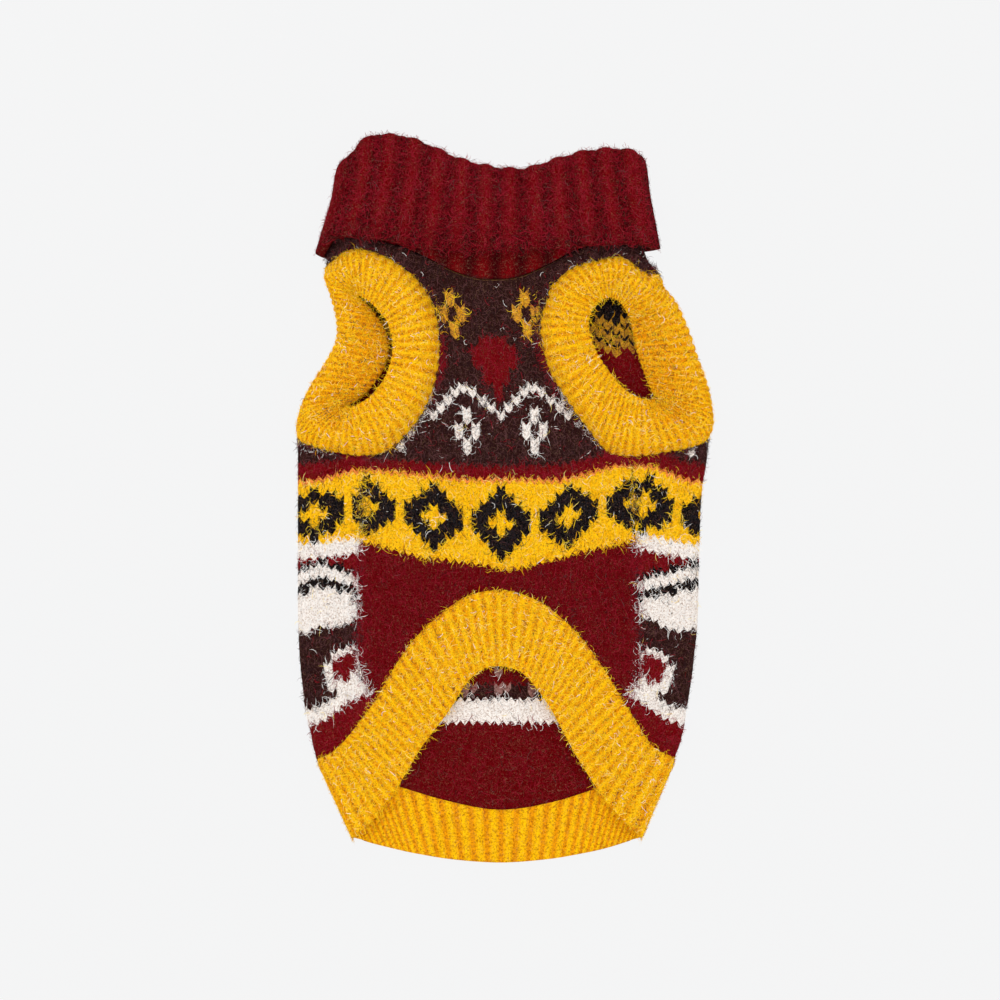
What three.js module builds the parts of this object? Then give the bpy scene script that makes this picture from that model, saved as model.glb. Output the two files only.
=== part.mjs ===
// A knitted dog sweater laid flat on its back, belly side up, in millimetres.
// +X is to the right and +Y towards the neck as one looks down on it, and +Z is up from the surface below it.
// Two layers of cloth lie on each other: the back panel, which turns up round both sides, and the belly
// panel, which closes the body between two side seams. A ribbed cuff edges each leg opening, a ribbed hem
// goes round the lower edge, where the belly is cut away in an arch, and a ribbed collar is folded down over
// the neck.
import * as THREE from "three";

// Driving dimensions.
const SEAM_GAP = 0.3;
const FACET_ROOM = 0.45;
const CUFF_FACET_ROOM = 0.55;
const SIDE_GAP = 1.0;
const CLOTH = 3.0;
const RIB_CLOTH = 3.2;
const LAYER_PITCH = 4.2;
const FOLD_REACH = 28.0;
const HEM_RIB_RAISE = 0.9;
const BACK_HEM_RIB_RAISE = 0.5;
const CUFF_RIB_RAISE = 0.9;
const COLLAR_RIB_RAISE = 2.0;
const COLLAR_CENTRE_Z = 8.7;
const COLLAR_OUTER_HALF = 6.8;
const CUFF_LEAD = 1.5;

// Heights on the belly side above which the arch of the hem, and below which the dip of the neck, no longer
// bends the rows of a panel.
const ARCH_FADES_AT = 10.0;
const NECK_DIP_STARTS_AT = 60.0;

// Shares of a panel's height at which the side seam gives way to the leg opening, and that to the seam above
// it, and the share of the collar's ring in each side fold.
const SEAM_SHARE = 0.4;
const OPENING_SHARE = 0.96;
const COLLAR_FOLD_SHARE = 0.06;

// How many ribs each band has.
const COLLAR_RIBS = 26;
const CUFF_RIBS = 40;
const BELLY_HEM_RIBS = 52;
const BACK_HEM_RIBS = 36;

// The flattened tube of the body: its two side edges, the radius of its side folds at mid cloth, and how far
// the collar's thickness lifts it off the surface, from hem to neck.
const BODY = [
  { y: -168, left: -76.0, right: 68.0, fold: 4.0, lift: 0 },
  { y: -154, left: -82.3, right: 73.9, fold: 4.0, lift: 0 },
  { y: -140, left: -88.6, right: 79.8, fold: 4.0, lift: 0 },
  { y: -129, left: -93.5, right: 84.5, fold: 4.0, lift: 0 },
  { y: -115, left: -97.0, right: 88.5, fold: 4.0, lift: 0 },
  { y: -100, left: -100.0, right: 91.0, fold: 4.0, lift: 0 },
  { y: -70, left: -102.5, right: 95.0, fold: 4.0, lift: 0 },
  { y: -30, left: -103.0, right: 96.5, fold: 4.0, lift: 0 },
  { y: 0, left: -103.0, right: 97.5, fold: 4.0, lift: 0 },
  { y: 30, left: -103.0, right: 101.0, fold: 4.0, lift: 0 },
  { y: 70, left: -99.0, right: 98.0, fold: 4.0, lift: 0 },
  { y: 100, left: -93.0, right: 85.0, fold: 3.4, lift: 0 },
  { y: 106, left: -91.5, right: 80.0, fold: 3.0, lift: 0.9 },
  { y: 113, left: -89.5, right: 75.5, fold: 2.6, lift: 3.4 },
  { y: 118, left: -88.4, right: 71.5, fold: 2.4, lift: 4.5 },
  { y: 124, left: -87.0, right: 69.4, fold: 2.3, lift: 5.0 },
  { y: 133, left: -85.6, right: 68.4, fold: 2.3, lift: 5.1 },
];

// The side seams, on the belly side, from the hem to the leg openings.
const SIDE_SEAM = [
  { y: -101, left: -65.5, right: 59.5 },
  { y: -92, left: -69.5, right: 65.5 },
  { y: -80, left: -73.0, right: 67.5 },
  { y: -60, left: -74.0, right: 67.0 },
  { y: -26, left: -73.0, right: 65.5 },
  { y: 0, left: -71.5, right: 64.5 },
  { y: 21, left: -70.5, right: 63.5 },
];

// The seam of the neck, on the belly side and on the back.
const NECK_SEAM = [
  { x: -92.0, belly: 129.5, back: 129.5 },
  { x: -80.0, belly: 130.0, back: 129.0 },
  { x: -68.0, belly: 129.5, back: 128.0 },
  { x: -54.0, belly: 126.5, back: 127.0 },
  { x: -39.0, belly: 120.0, back: 126.5 },
  { x: -24.0, belly: 113.0, back: 126.0 },
  { x: -9.0, belly: 109.8, back: 126.0 },
  { x: 6.0, belly: 110.8, back: 126.0 },
  { x: 21.0, belly: 116.5, back: 126.5 },
  { x: 36.0, belly: 124.0, back: 127.0 },
  { x: 52.0, belly: 127.8, back: 128.0 },
  { x: 62.0, belly: 128.0, back: 128.5 },
  { x: 78.0, belly: 127.5, back: 128.5 },
];

// The ribs of the hem band on the belly side: where one leaves the seam and where it ends at the free edge.
// The first and last lie half way round the side folds, their x measured over the cloth.
const BELLY_HEM = [
  { seamX: -94.3, seamY: -129.0, edgeX: -76.8, edgeY: -168.0 },
  { seamX: -87.0, seamY: -126.0, edgeX: -66.0, edgeY: -159.0 },
  { seamX: -80.0, seamY: -119.5, edgeX: -56.5, edgeY: -147.0 },
  { seamX: -72.5, seamY: -110.3, edgeX: -49.0, edgeY: -135.0 },
  { seamX: -65.5, seamY: -101.0, edgeX: -42.5, edgeY: -124.0 },
  { seamX: -57.0, seamY: -86.3, edgeX: -34.5, edgeY: -113.5 },
  { seamX: -48.5, seamY: -73.3, edgeX: -27.5, edgeY: -104.3 },
  { seamX: -34.5, seamY: -58.8, edgeX: -20.0, edgeY: -92.3 },
  { seamX: -19.5, seamY: -48.3, edgeX: -12.0, edgeY: -84.8 },
  { seamX: -3.0, seamY: -44.9, edgeX: -2.0, edgeY: -82.8 },
  { seamX: 15.5, seamY: -49.8, edgeX: 8.0, edgeY: -85.8 },
  { seamX: 30.5, seamY: -60.8, edgeX: 15.5, edgeY: -93.3 },
  { seamX: 40.5, seamY: -71.8, edgeX: 21.5, edgeY: -101.8 },
  { seamX: 50.0, seamY: -85.3, edgeX: 27.0, edgeY: -111.3 },
  { seamX: 59.5, seamY: -101.0, edgeX: 34.0, edgeY: -124.3 },
  { seamX: 66.0, seamY: -111.3, edgeX: 42.0, edgeY: -137.3 },
  { seamX: 73.5, seamY: -122.0, edgeX: 53.0, edgeY: -153.0 },
  { seamX: 85.3, seamY: -129.0, edgeX: 68.8, edgeY: -168.0 },
];

// The same on the back layer, which the arch leaves in view.
const BACK_HEM = [
  { seamX: -94.3, seamY: -129.0, edgeX: -76.8, edgeY: -168.0 },
  { seamX: -84.0, seamY: -133.5, edgeX: -68.0, edgeY: -171.0 },
  { seamX: -70.0, seamY: -138.3, edgeX: -56.0, edgeY: -174.0 },
  { seamX: -54.5, seamY: -142.6, edgeX: -44.5, edgeY: -176.5 },
  { seamX: -29.5, seamY: -150.0, edgeX: -25.5, edgeY: -179.5 },
  { seamX: -2.0, seamY: -154.6, edgeX: -2.0, edgeY: -181.0 },
  { seamX: 25.5, seamY: -150.3, edgeX: 21.5, edgeY: -179.3 },
  { seamX: 45.5, seamY: -144.0, edgeX: 38.5, edgeY: -176.5 },
  { seamX: 60.0, seamY: -139.0, edgeX: 50.0, edgeY: -174.0 },
  { seamX: 74.0, seamY: -134.5, edgeX: 60.0, edgeY: -171.0 },
  { seamX: 85.3, seamY: -129.0, edgeX: 68.8, edgeY: -168.0 },
];

// Sections of the cuffs, going round each leg opening from its side seam over the belly side. The seam is a
// place on the belly side, or on the back as a distance over the cloth from the middle line. The crest is the
// cuff's highest stretch and the lip its free edge, both at mid cloth. Bulge is how far it swells out below
// the crest.
const CUFF_LEFT = [
  { side: "belly", seam: [-70.5, 21.7], crest: [-72.0, 31.0, 14.0], lip: [-76.0, 45.5, 9.2], bulge: 2.0 },
  { side: "belly", seam: [-57.5, 24.6], crest: [-60.0, 35.5, 14.4], lip: [-68.5, 49.5, 9.8], bulge: 2.0 },
  { side: "belly", seam: [-43.0, 40.0], crest: [-49.5, 46.0, 14.4], lip: [-62.0, 56.0, 10.2], bulge: 2.0 },
  { side: "belly", seam: [-35.0, 58.0], crest: [-42.5, 61.0, 14.6], lip: [-57.0, 65.5, 10.6], bulge: 2.0 },
  { side: "belly", seam: [-32.5, 78.0], crest: [-40.5, 78.0, 14.8], lip: [-55.0, 77.5, 10.8], bulge: 2.0 },
  { side: "belly", seam: [-36.0, 98.0], crest: [-44.0, 94.0, 15.4], lip: [-57.5, 88.0, 11.0], bulge: 2.0 },
  { side: "belly", seam: [-46.5, 113.0], crest: [-52.5, 106.0, 16.0], lip: [-62.5, 95.0, 11.4], bulge: 2.0 },
  { side: "belly", seam: [-62.0, 122.5], crest: [-64.5, 114.5, 16.8], lip: [-68.0, 100.0, 11.8], bulge: 1.8 },
  { side: "belly", seam: [-75.0, 125.2], crest: [-75.5, 117.0, 17.2], lip: [-72.0, 102.5, 11.8], bulge: 1.6 },
  { side: "belly", seam: [-82.9, 122.0], crest: [-82.2, 112.6, 17.0], lip: [-73.8, 102.2, 10.8], bulge: 1.0 },
  { side: "back", seam: [-87.0, 115.0], crest: [-84.5, 106.8, 16.0], lip: [-73.0, 99.5, 9.4], bulge: 1.2 },
  { side: "back", seam: [-80.5, 104.0], crest: [-81.5, 99.5, 14.5], lip: [-68.0, 94.5, 7.0], bulge: 3.0 },
  { side: "back", seam: [-77.0, 91.0], crest: [-79.0, 89.5, 12.8], lip: [-61.5, 86.0, 5.4], bulge: 3.0 },
  { side: "back", seam: [-77.0, 78.0], crest: [-79.0, 79.5, 12.0], lip: [-58.5, 76.5, 5.0], bulge: 3.0 },
  { side: "back", seam: [-82.0, 63.0], crest: [-84.5, 69.0, 12.0], lip: [-61.0, 66.0, 5.0], bulge: 3.2 },
  { side: "back", seam: [-89.5, 48.0], crest: [-91.5, 58.5, 12.0], lip: [-66.5, 57.5, 5.2], bulge: 3.6 },
  { side: "back", seam: [-97.0, 36.0], crest: [-96.5, 49.0, 11.8], lip: [-73.0, 52.0, 5.3], bulge: 2.6 },
  { side: "back", seam: [-104.5, 28.8], crest: [-96.0, 41.0, 12.4], lip: [-77.5, 49.0, 5.8], bulge: 2.2 },
  { side: "back", seam: [-112.0, 25.6], crest: [-92.0, 35.0, 13.8], lip: [-78.8, 46.8, 7.0], bulge: 2.0 },
  { side: "belly", seam: [-84.0, 23.3], crest: [-83.0, 31.5, 14.2], lip: [-78.5, 45.6, 8.2], bulge: 2.0 },
];
const CUFF_RIGHT = [
  { side: "belly", seam: [63.5, 21.3], crest: [64.0, 30.5, 14.2], lip: [66.0, 50.5, 9.2], bulge: 2.0 },
  { side: "belly", seam: [50.5, 24.0], crest: [53.5, 34.0, 14.4], lip: [59.0, 54.5, 9.6], bulge: 2.0 },
  { side: "belly", seam: [40.0, 36.5], crest: [45.0, 43.5, 14.4], lip: [53.0, 61.0, 10.0], bulge: 2.0 },
  { side: "belly", seam: [29.5, 51.5], crest: [36.0, 57.0, 14.6], lip: [48.0, 68.0, 10.2], bulge: 2.0 },
  { side: "belly", seam: [21.0, 67.5], crest: [28.5, 70.5, 14.6], lip: [43.5, 76.5, 10.4], bulge: 2.0 },
  { side: "belly", seam: [17.5, 86.0], crest: [25.5, 86.5, 14.8], lip: [40.8, 86.5, 10.6], bulge: 2.0 },
  { side: "belly", seam: [21.5, 103.0], crest: [29.0, 99.5, 15.6], lip: [42.5, 94.5, 10.8], bulge: 2.0 },
  { side: "belly", seam: [32.0, 115.0], crest: [38.0, 109.0, 16.4], lip: [46.5, 99.5, 11.0], bulge: 1.8 },
  { side: "belly", seam: [46.0, 119.2], crest: [48.5, 113.0, 17.0], lip: [51.0, 101.5, 11.2], bulge: 1.6 },
  { side: "belly", seam: [57.5, 121.4], crest: [58.0, 113.0, 17.0], lip: [55.0, 100.8, 11.0], bulge: 1.6 },
  { side: "belly", seam: [67.4, 116.0], crest: [66.5, 107.2, 16.4], lip: [58.5, 98.2, 10.0], bulge: 0.4 },
  { side: "back", seam: [74.6, 107.6], crest: [74.0, 100.8, 15.4], lip: [61.0, 94.5, 8.4], bulge: 0.6 },
  { side: "back", seam: [77.5, 99.0], crest: [80.0, 95.0, 14.0], lip: [63.5, 88.5, 6.4], bulge: 3.0 },
  { side: "back", seam: [83.0, 85.0], crest: [86.0, 84.0, 12.8], lip: [65.0, 80.5, 5.6], bulge: 3.4 },
  { side: "back", seam: [87.0, 70.0], crest: [90.5, 71.0, 12.4], lip: [67.5, 71.0, 5.2], bulge: 4.0 },
  { side: "back", seam: [91.0, 55.0], crest: [95.5, 58.5, 12.4], lip: [70.5, 62.0, 5.2], bulge: 4.4 },
  { side: "back", seam: [94.5, 41.0], crest: [98.5, 48.5, 12.0], lip: [73.5, 55.0, 5.3], bulge: 3.4 },
  { side: "back", seam: [101.5, 31.0], crest: [97.5, 40.5, 12.4], lip: [75.0, 51.0, 5.8], bulge: 2.6 },
  { side: "back", seam: [109.0, 26.0], crest: [91.5, 34.5, 13.8], lip: [74.0, 49.3, 7.2], bulge: 2.2 },
  { side: "belly", seam: [80.0, 23.6], crest: [78.5, 31.0, 14.2], lip: [71.0, 49.0, 8.4], bulge: 2.0 },
];

// The collar's top fold and the two free edges of the part that is folded down over it.
const COLLAR_EDGES = [
  { x: -93.0, top: 150.0, belly: 122.0, back: 119.5 },
  { x: -84.0, top: 160.0, belly: 129.4, back: 120.0 },
  { x: -75.0, top: 170.5, belly: 130.2, back: 121.5 },
  { x: -66.0, top: 178.3, belly: 129.6, back: 122.5 },
  { x: -54.0, top: 178.6, belly: 127.4, back: 123.0 },
  { x: -39.0, top: 174.0, belly: 124.4, back: 123.0 },
  { x: -24.0, top: 167.4, belly: 123.2, back: 123.0 },
  { x: -4.0, top: 162.6, belly: 123.0, back: 123.0 },
  { x: 8.0, top: 162.0, belly: 123.8, back: 123.0 },
  { x: 26.0, top: 167.0, belly: 124.6, back: 123.0 },
  { x: 41.0, top: 171.0, belly: 126.0, back: 123.0 },
  { x: 56.0, top: 172.0, belly: 126.6, back: 123.4 },
  { x: 66.0, top: 169.0, belly: 126.4, back: 123.8 },
  { x: 76.0, top: 158.5, belly: 125.0, back: 124.2 },
];

// Rings of the collar at mid cloth, from the neck seam up the inside, over the fold and down the outside.
// Rise is the share of the way from a leg's lower edge to the top fold, and spread goes from 0 inside to 1
// outside.
const COLLAR_RINGS = [
  { rise: 0.0, spread: 0, left: -84.2, right: 67.0 },
  { rise: 0.35, spread: 0, left: -81.5, right: 66.0 },
  { rise: 0.7, spread: 0, left: -78.5, right: 64.6 },
  { rise: 0.955, spread: 0.12, left: -77.0, right: 63.4 },
  { rise: 1.0, spread: 0.5, left: -79.0, right: 65.4 },
  { rise: 0.955, spread: 0.9, left: -81.4, right: 67.6 },
  { rise: 0.66, spread: 1, left: -83.5, right: 69.4 },
  { rise: 0.33, spread: 1, left: -87.5, right: 72.2 },
  { rise: 0.0, spread: 1, left: -91.4, right: 74.6 },
];

// A value of a table's column at a key, on a smooth curve through the rows.
function lookup(rows, key, column, at) {
  const last = rows.length - 1;
  if (at <= rows[0][key]) return rows[0][column];
  if (at >= rows[last][key]) return rows[last][column];
  let i = 0;
  while (at > rows[i + 1][key]) i++;
  const secant = (k) => (rows[k + 1][column] - rows[k][column]) / (rows[k + 1][key] - rows[k][key]);
  const inner = (k) => (secant(k - 1) * secant(k) <= 0 ? 0 : (secant(k - 1) + secant(k)) / 2);
  const slope = (k) => (k === 0 ? secant(0) : k === last ? secant(last - 1) : inner(k));
  const span = rows[i + 1][key] - rows[i][key];
  const t = (at - rows[i][key]) / span;
  const stay = (1 + 2 * t) * (1 - t) ** 2;
  const near = t * (1 - t) ** 2 * span * slope(i);
  const far = t * t * (t - 1) * span * slope(i + 1);
  return stay * rows[i][column] + near + (1 - stay) * rows[i + 1][column] + far;
}

// The point a share t along a smooth curve through points, open or closed.
function along(points, t, closed = false) {
  const count = points.length;
  const spans = closed ? count : count - 1;
  const place = closed ? (((t % 1) + 1) % 1) * spans : Math.min(Math.max(t, 0), 1) * spans;
  const i = Math.min(Math.floor(place), spans - 1);
  const f = place - i;
  const pick = (k) => (closed ? points[(k + count) % count] : points[Math.min(Math.max(k, 0), count - 1)]);
  const [a, b, c, d] = [pick(i - 1), pick(i), pick(i + 1), pick(i + 2)];
  return b.map((_, k) => {
    const bend = 2 * a[k] - 5 * b[k] + 4 * c[k] - d[k];
    const twist = 3 * (b[k] - c[k]) + d[k] - a[k];
    return b[k] + 0.5 * f * (c[k] - a[k] + f * (bend + f * twist));
  });
}

// The point a share v along straight pieces between points.
function polyline(points, v) {
  const place = Math.min(Math.max(v, 0), 1) * (points.length - 1);
  const i = Math.min(Math.floor(place), points.length - 2);
  return points[i].map((p, k) => p + (place - i) * (points[i + 1][k] - p));
}

function smoothstep(low, high, at) {
  const t = Math.min(Math.max((at - low) / (high - low), 0), 1);
  return t * t * (3 - 2 * t);
}

const mix = (a, b, t) => a + t * (b - a);
const evenly = (count) => Array.from({ length: count + 1 }, (_, i) => i / count);

// The rows of a panel: along the side seams, at steps round the leg openings, and the seam above them.
const panelRows = (steps) => [
  ...evenly(9).map((t) => t * SEAM_SHARE),
  ...steps.map((t) => mix(SEAM_SHARE, OPENING_SHARE, t)),
  1,
];

// The section of the body's tube at a height up the garment: the inner ends of its side folds.
function section(y) {
  const at = (column) => lookup(BODY, "y", column, y);
  const edge = at("fold") + CLOTH / 2;
  return { fold: at("fold"), lift: at("lift"), left: at("left") + edge, right: at("right") - edge };
}

// The mid cloth height of the belly layer: near on the back layer, and up over the side folds.
function bellyZ(x, y) {
  const s = section(y);
  const inside = Math.max(Math.min(x - s.left, s.right - x), 0);
  const near = Math.max(1 - (inside / FOLD_REACH) ** 2, 0) ** 4;
  return CLOTH / 2 + s.lift + LAYER_PITCH + (2 * s.fold - LAYER_PITCH) * near;
}

// A point of the body at mid cloth, by its distance over the cloth from the middle line of the back.
function bodyPoint(distance, y) {
  const s = section(y);
  const side = distance < 0 ? -1 : 1;
  const tangent = side > 0 ? s.right : s.left;
  const arc = Math.PI * s.fold;
  const past = Math.abs(distance) - Math.abs(tangent);
  const base = CLOTH / 2 + s.lift;
  if (past <= 0) return [distance, y, base];
  if (past < arc) {
    const turn = past / s.fold;
    return [tangent + side * s.fold * Math.sin(turn), y, base + s.fold * (1 - Math.cos(turn))];
  }
  const x = tangent - side * (past - arc);
  return [x, y, bellyZ(x, y)];
}

// The step of one millimetre over the cloth, square to a seam there, on the side that a flat normal points
// to.
function acrossCloth([distance, y], normal) {
  const step = 1e-3;
  const here = new THREE.Vector3(...bodyPoint(distance, y));
  const alongCloth = new THREE.Vector3(...bodyPoint(distance + step, y)).sub(here).divideScalar(step);
  const upCloth = new THREE.Vector3(...bodyPoint(distance, y + step)).sub(here).divideScalar(step);
  const [e, f, g] = [alongCloth.dot(alongCloth), alongCloth.dot(upCloth), upCloth.dot(upCloth)];
  const square = [g * normal[0] - f * normal[1], e * normal[1] - f * normal[0]];
  const length = Math.sqrt(e * square[0] ** 2 + 2 * f * square[0] * square[1] + g * square[1] ** 2);
  return square.map((c) => c / length);
}

// The distance over the cloth, from the middle line of the back, of a place on the belly side.
function wrapDistance(x, y) {
  const s = section(y);
  const side = x < 0 ? -1 : 1;
  const tangent = side > 0 ? s.right : s.left;
  return side * (Math.abs(tangent) + Math.PI * s.fold + side * (tangent - x));
}

// A point of the belly side, where an x past the side fold is measured over the cloth.
const bellyPoint = (x, y) => bodyPoint(wrapDistance(x, y), y);

// The normal of a surface at(a, b), on the side about which its first direction turns to its second.
function normalOf(at, a, b, step) {
  const between = (from, to) => new THREE.Vector3(...at(...to)).sub(new THREE.Vector3(...at(...from)));
  const [first, second] = [between([a - step, b], [a + step, b]), between([a, b - step], [a, b + step])];
  return first.cross(second).normalize();
}

// A closed wall of cloth about a middle surface mid(u, v), with u and v from 0 to 1. The face that ribs is
// raised by raise(column, v), and what would sink below the surface that the garment lies on is pressed flat.
function wall({ columns, rows, mid, normal, thickness, raise = () => 0, ribbed = 1, ring = false }) {
  const outward = normal ?? ((u, v) => normalOf(mid, u, v, 1e-4));
  const [points, faces] = [[], []];
  const grid = (side) =>
    columns.map((u, i) =>
      rows.map((v) => {
        const offset = thickness / 2 + (side === ribbed ? raise(i, v) : 0);
        const p = new THREE.Vector3(...mid(u, v)).addScaledVector(outward(u, v), side * offset);
        return points.push(p.x, p.y, Math.max(p.z, 0)) / 3 - 1;
      }),
    );
  const [outer, inner] = [grid(1), grid(-1)];
  const apart = (p, q) => Math.hypot(...[0, 1, 2].map((k) => points[3 * p + k] - points[3 * q + k]));
  const quad = (a, b, c, d) => {
    if (apart(a, c) <= apart(b, d)) faces.push(a, b, c, a, c, d);
    else faces.push(b, c, d, b, d, a);
  };
  const spans = ring ? columns.length : columns.length - 1;
  const top = rows.length - 1;
  for (let i = 0; i < spans; i++) {
    const n = (i + 1) % columns.length;
    for (let j = 0; j < top; j++) {
      quad(outer[i][j], outer[n][j], outer[n][j + 1], outer[i][j + 1]);
      quad(inner[i][j], inner[i][j + 1], inner[n][j + 1], inner[n][j]);
    }
    quad(outer[i][0], inner[i][0], inner[n][0], outer[n][0]);
    quad(outer[i][top], outer[n][top], inner[n][top], inner[i][top]);
  }
  if (!ring) {
    const end = columns.length - 1;
    for (let j = 0; j < top; j++) {
      quad(outer[0][j], outer[0][j + 1], inner[0][j + 1], inner[0][j]);
      quad(outer[end][j], inner[end][j], inner[end][j + 1], outer[end][j + 1]);
    }
  }
  const geometry = new THREE.BufferGeometry();
  geometry.setAttribute("position", new THREE.Float32BufferAttribute(points, 3));
  geometry.setIndex(faces);
  geometry.computeVertexNormals();
  return geometry;
}

// A place on a panel between its two side edges, for u and v from 0 to 1, as [place across, y]. The curves of
// its hem and neck, as y by the place across, bend the rows near them.
function panelPlace({ left, right, hem, neck }) {
  const hemLevel = (left(0)[1] + right(0)[1]) / 2;
  const neckLevel = (left(1)[1] + right(1)[1]) / 2;
  const share = (from, to, y) => Math.min(Math.max((y - from) / (to - from), 0), 1);
  return (u, v) => {
    const [l, r] = [left(v), right(v)];
    const across = mix(l[0], r[0], u);
    const rise = (curve) => curve(across) - mix(curve(l[0]), curve(r[0]), u);
    const nearHem = 1 - share(hemLevel, ARCH_FADES_AT, (l[1] + r[1]) / 2);
    const nearNeck = share(NECK_DIP_STARTS_AT, neckLevel, (l[1] + r[1]) / 2);
    return [across, mix(l[1], r[1], u) + nearHem * rise(hem) + nearNeck * rise(neck)];
  };
}

// A function that keeps what it has worked out.
function remembered(work) {
  const known = new Map();
  return (at) => {
    if (!known.has(at)) known.set(at, work(at));
    return known.get(at);
  };
}

// A leg opening: its seam line as [distance over the cloth, y] at a share round it, and the share at which
// it comes highest, where the upper side seam meets it.
function legOpening(sections) {
  const places = sections.map(({ side, seam: [x, y] }) => [side === "belly" ? wrapDistance(x, y) : x, y]);
  const highest = Math.max(...places.map((place) => place[1]));
  const top = places.findIndex((place) => place[1] === highest) / places.length;
  return { sections, top, seam: (t) => along(places, t, true) };
}

const LEG_LEFT = legOpening(CUFF_LEFT);
const LEG_RIGHT = legOpening(CUFF_RIGHT);

// The edge of a panel from the hem to the neck, at a share v: up the side seam, round one side of a leg
// opening and up the short seam above it. Places are [distance over the cloth, y].
function panelEdge(side, leg, onBelly) {
  const [foot, peak] = [leg.seam(0), leg.seam(leg.top)];
  const hemY = SIDE_SEAM[0].y;
  const peakX = bodyPoint(...peak)[0];
  const neckY = lookup(NECK_SEAM, "x", "belly", peakX);
  return remembered((v) => {
    if (v <= SEAM_SHARE) {
      const y = mix(hemY, foot[1], v / SEAM_SHARE);
      return [wrapDistance(lookup(SIDE_SEAM, "y", side, y), y), y];
    }
    if (v >= OPENING_SHARE) {
      const y = mix(peak[1], neckY, (v - OPENING_SHARE) / (1 - OPENING_SHARE));
      return [wrapDistance(peakX, y), y];
    }
    const turn = (Math.PI * (v - SEAM_SHARE)) / (OPENING_SHARE - SEAM_SHARE);
    const y = mix(foot[1], peak[1], (1 - Math.cos(turn)) / 2);
    let [low, high] = [onBelly ? 0 : 1, leg.top];
    for (let i = 0; i < 40; i++) {
      const middle = (low + high) / 2;
      if (leg.seam(middle)[1] < y) low = middle;
      else high = middle;
    }
    return [leg.seam(low)[0], y];
  });
}

// The belly panel, from the arch of the hem to the neck between the side seams and the leg openings.
function bellyPanel() {
  const edge = (side, leg, sign) => {
    const place = panelEdge(side, leg, true);
    return (v) => {
      const [distance, y] = place(v);
      const s = section(y);
      const x = s[side] - sign * (Math.abs(distance) - Math.abs(s[side]) - Math.PI * s.fold);
      const below = 1 - smoothstep(SEAM_SHARE, SEAM_SHARE + 0.02, v);
      const above = smoothstep(OPENING_SHARE - 0.02, OPENING_SHARE, v);
      return [x - sign * SEAM_GAP * (below + above), y];
    };
  };
  const place = panelPlace({
    left: remembered(edge("left", LEG_LEFT, -1)),
    right: remembered(edge("right", LEG_RIGHT, 1)),
    hem: (x) => lookup(BELLY_HEM, "seamX", "seamY", x),
    neck: (x) => lookup(NECK_SEAM, "x", "belly", x),
  });
  const cloth = (x, y) => [x, y, bellyZ(x, y)];
  const mid = (u, v) => cloth(...place(u, v));
  const normal = (u, v) => normalOf(cloth, ...place(u, v), 1e-3);
  const rows = panelRows([...evenly(15).slice(1, -2), 0.9, 1]);
  return wall({ columns: evenly(20), rows, mid, normal, thickness: CLOTH });
}

// The back panel, which lies flat and turns up round both sides to the side seams on the belly side.
function backPanel() {
  const [left, right] = [panelEdge("left", LEG_LEFT, false), panelEdge("right", LEG_RIGHT, false)];
  // The hem seam as places [distance over the cloth, y], round from one side seam to the other.
  const wrapped = (from, to) =>
    evenly(40).map((t) => {
      const x = mix(from, to, t);
      const y = lookup(BELLY_HEM, "seamX", "seamY", x);
      return [wrapDistance(x, y), y];
    });
  const [foldLeft, foldRight] = [BACK_HEM[0].seamX, BACK_HEM.at(-1).seamX];
  const flat = evenly(160).map((t) => mix(foldLeft, foldRight, t));
  const hemLine = [
    ...wrapped(SIDE_SEAM[0].left, foldLeft),
    ...flat.slice(1, -1).map((distance) => [distance, lookup(BACK_HEM, "seamX", "seamY", distance)]),
    ...wrapped(foldRight, SIDE_SEAM[0].right),
  ];
  const hem = (distance) => {
    const before = hemLine.findLastIndex((place) => place[0] <= distance);
    const [a, b] = hemLine.slice(Math.min(Math.max(before, 0), hemLine.length - 2));
    return mix(a[1], b[1], Math.min(Math.max((distance - a[0]) / (b[0] - a[0]), 0), 1));
  };
  const neckY = left(1)[1];
  const neck = (distance) => {
    const [x, , z] = bodyPoint(distance, neckY);
    const s = section(neckY);
    const over = Math.min(Math.max((z - CLOTH / 2 - s.lift) / (2 * s.fold), 0), 1);
    return mix(lookup(NECK_SEAM, "x", "back", x), lookup(NECK_SEAM, "x", "belly", x), over);
  };
  const place = panelPlace({ left, right, hem, neck });
  const mid = (u, v) => bodyPoint(...place(u, v));
  const normal = (u, v) => normalOf(bodyPoint, ...place(u, v), 1e-3);
  const width = right(0)[0] - left(0)[0];
  const share = (distance) => (distance - left(0)[0]) / width;
  const stretch = (from, to, count) => evenly(count).slice(0, -1).map((t) => mix(share(from), share(to), t));
  const columns = [
    ...stretch(left(0)[0], -112, 6),
    ...stretch(-112, -86, 7),
    ...stretch(-86, 80, 11),
    ...stretch(80, 110, 8),
    ...stretch(110, right(0)[0], 7),
    1,
  ];
  const overFolds = [0.1, 0.17, 0.233, 0.77, 0.833, 0.9];
  const rows = panelRows([...evenly(15).slice(1), ...overFolds].sort((a, b) => a - b));
  return wall({ columns, rows, mid, normal, thickness: CLOTH });
}

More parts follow.
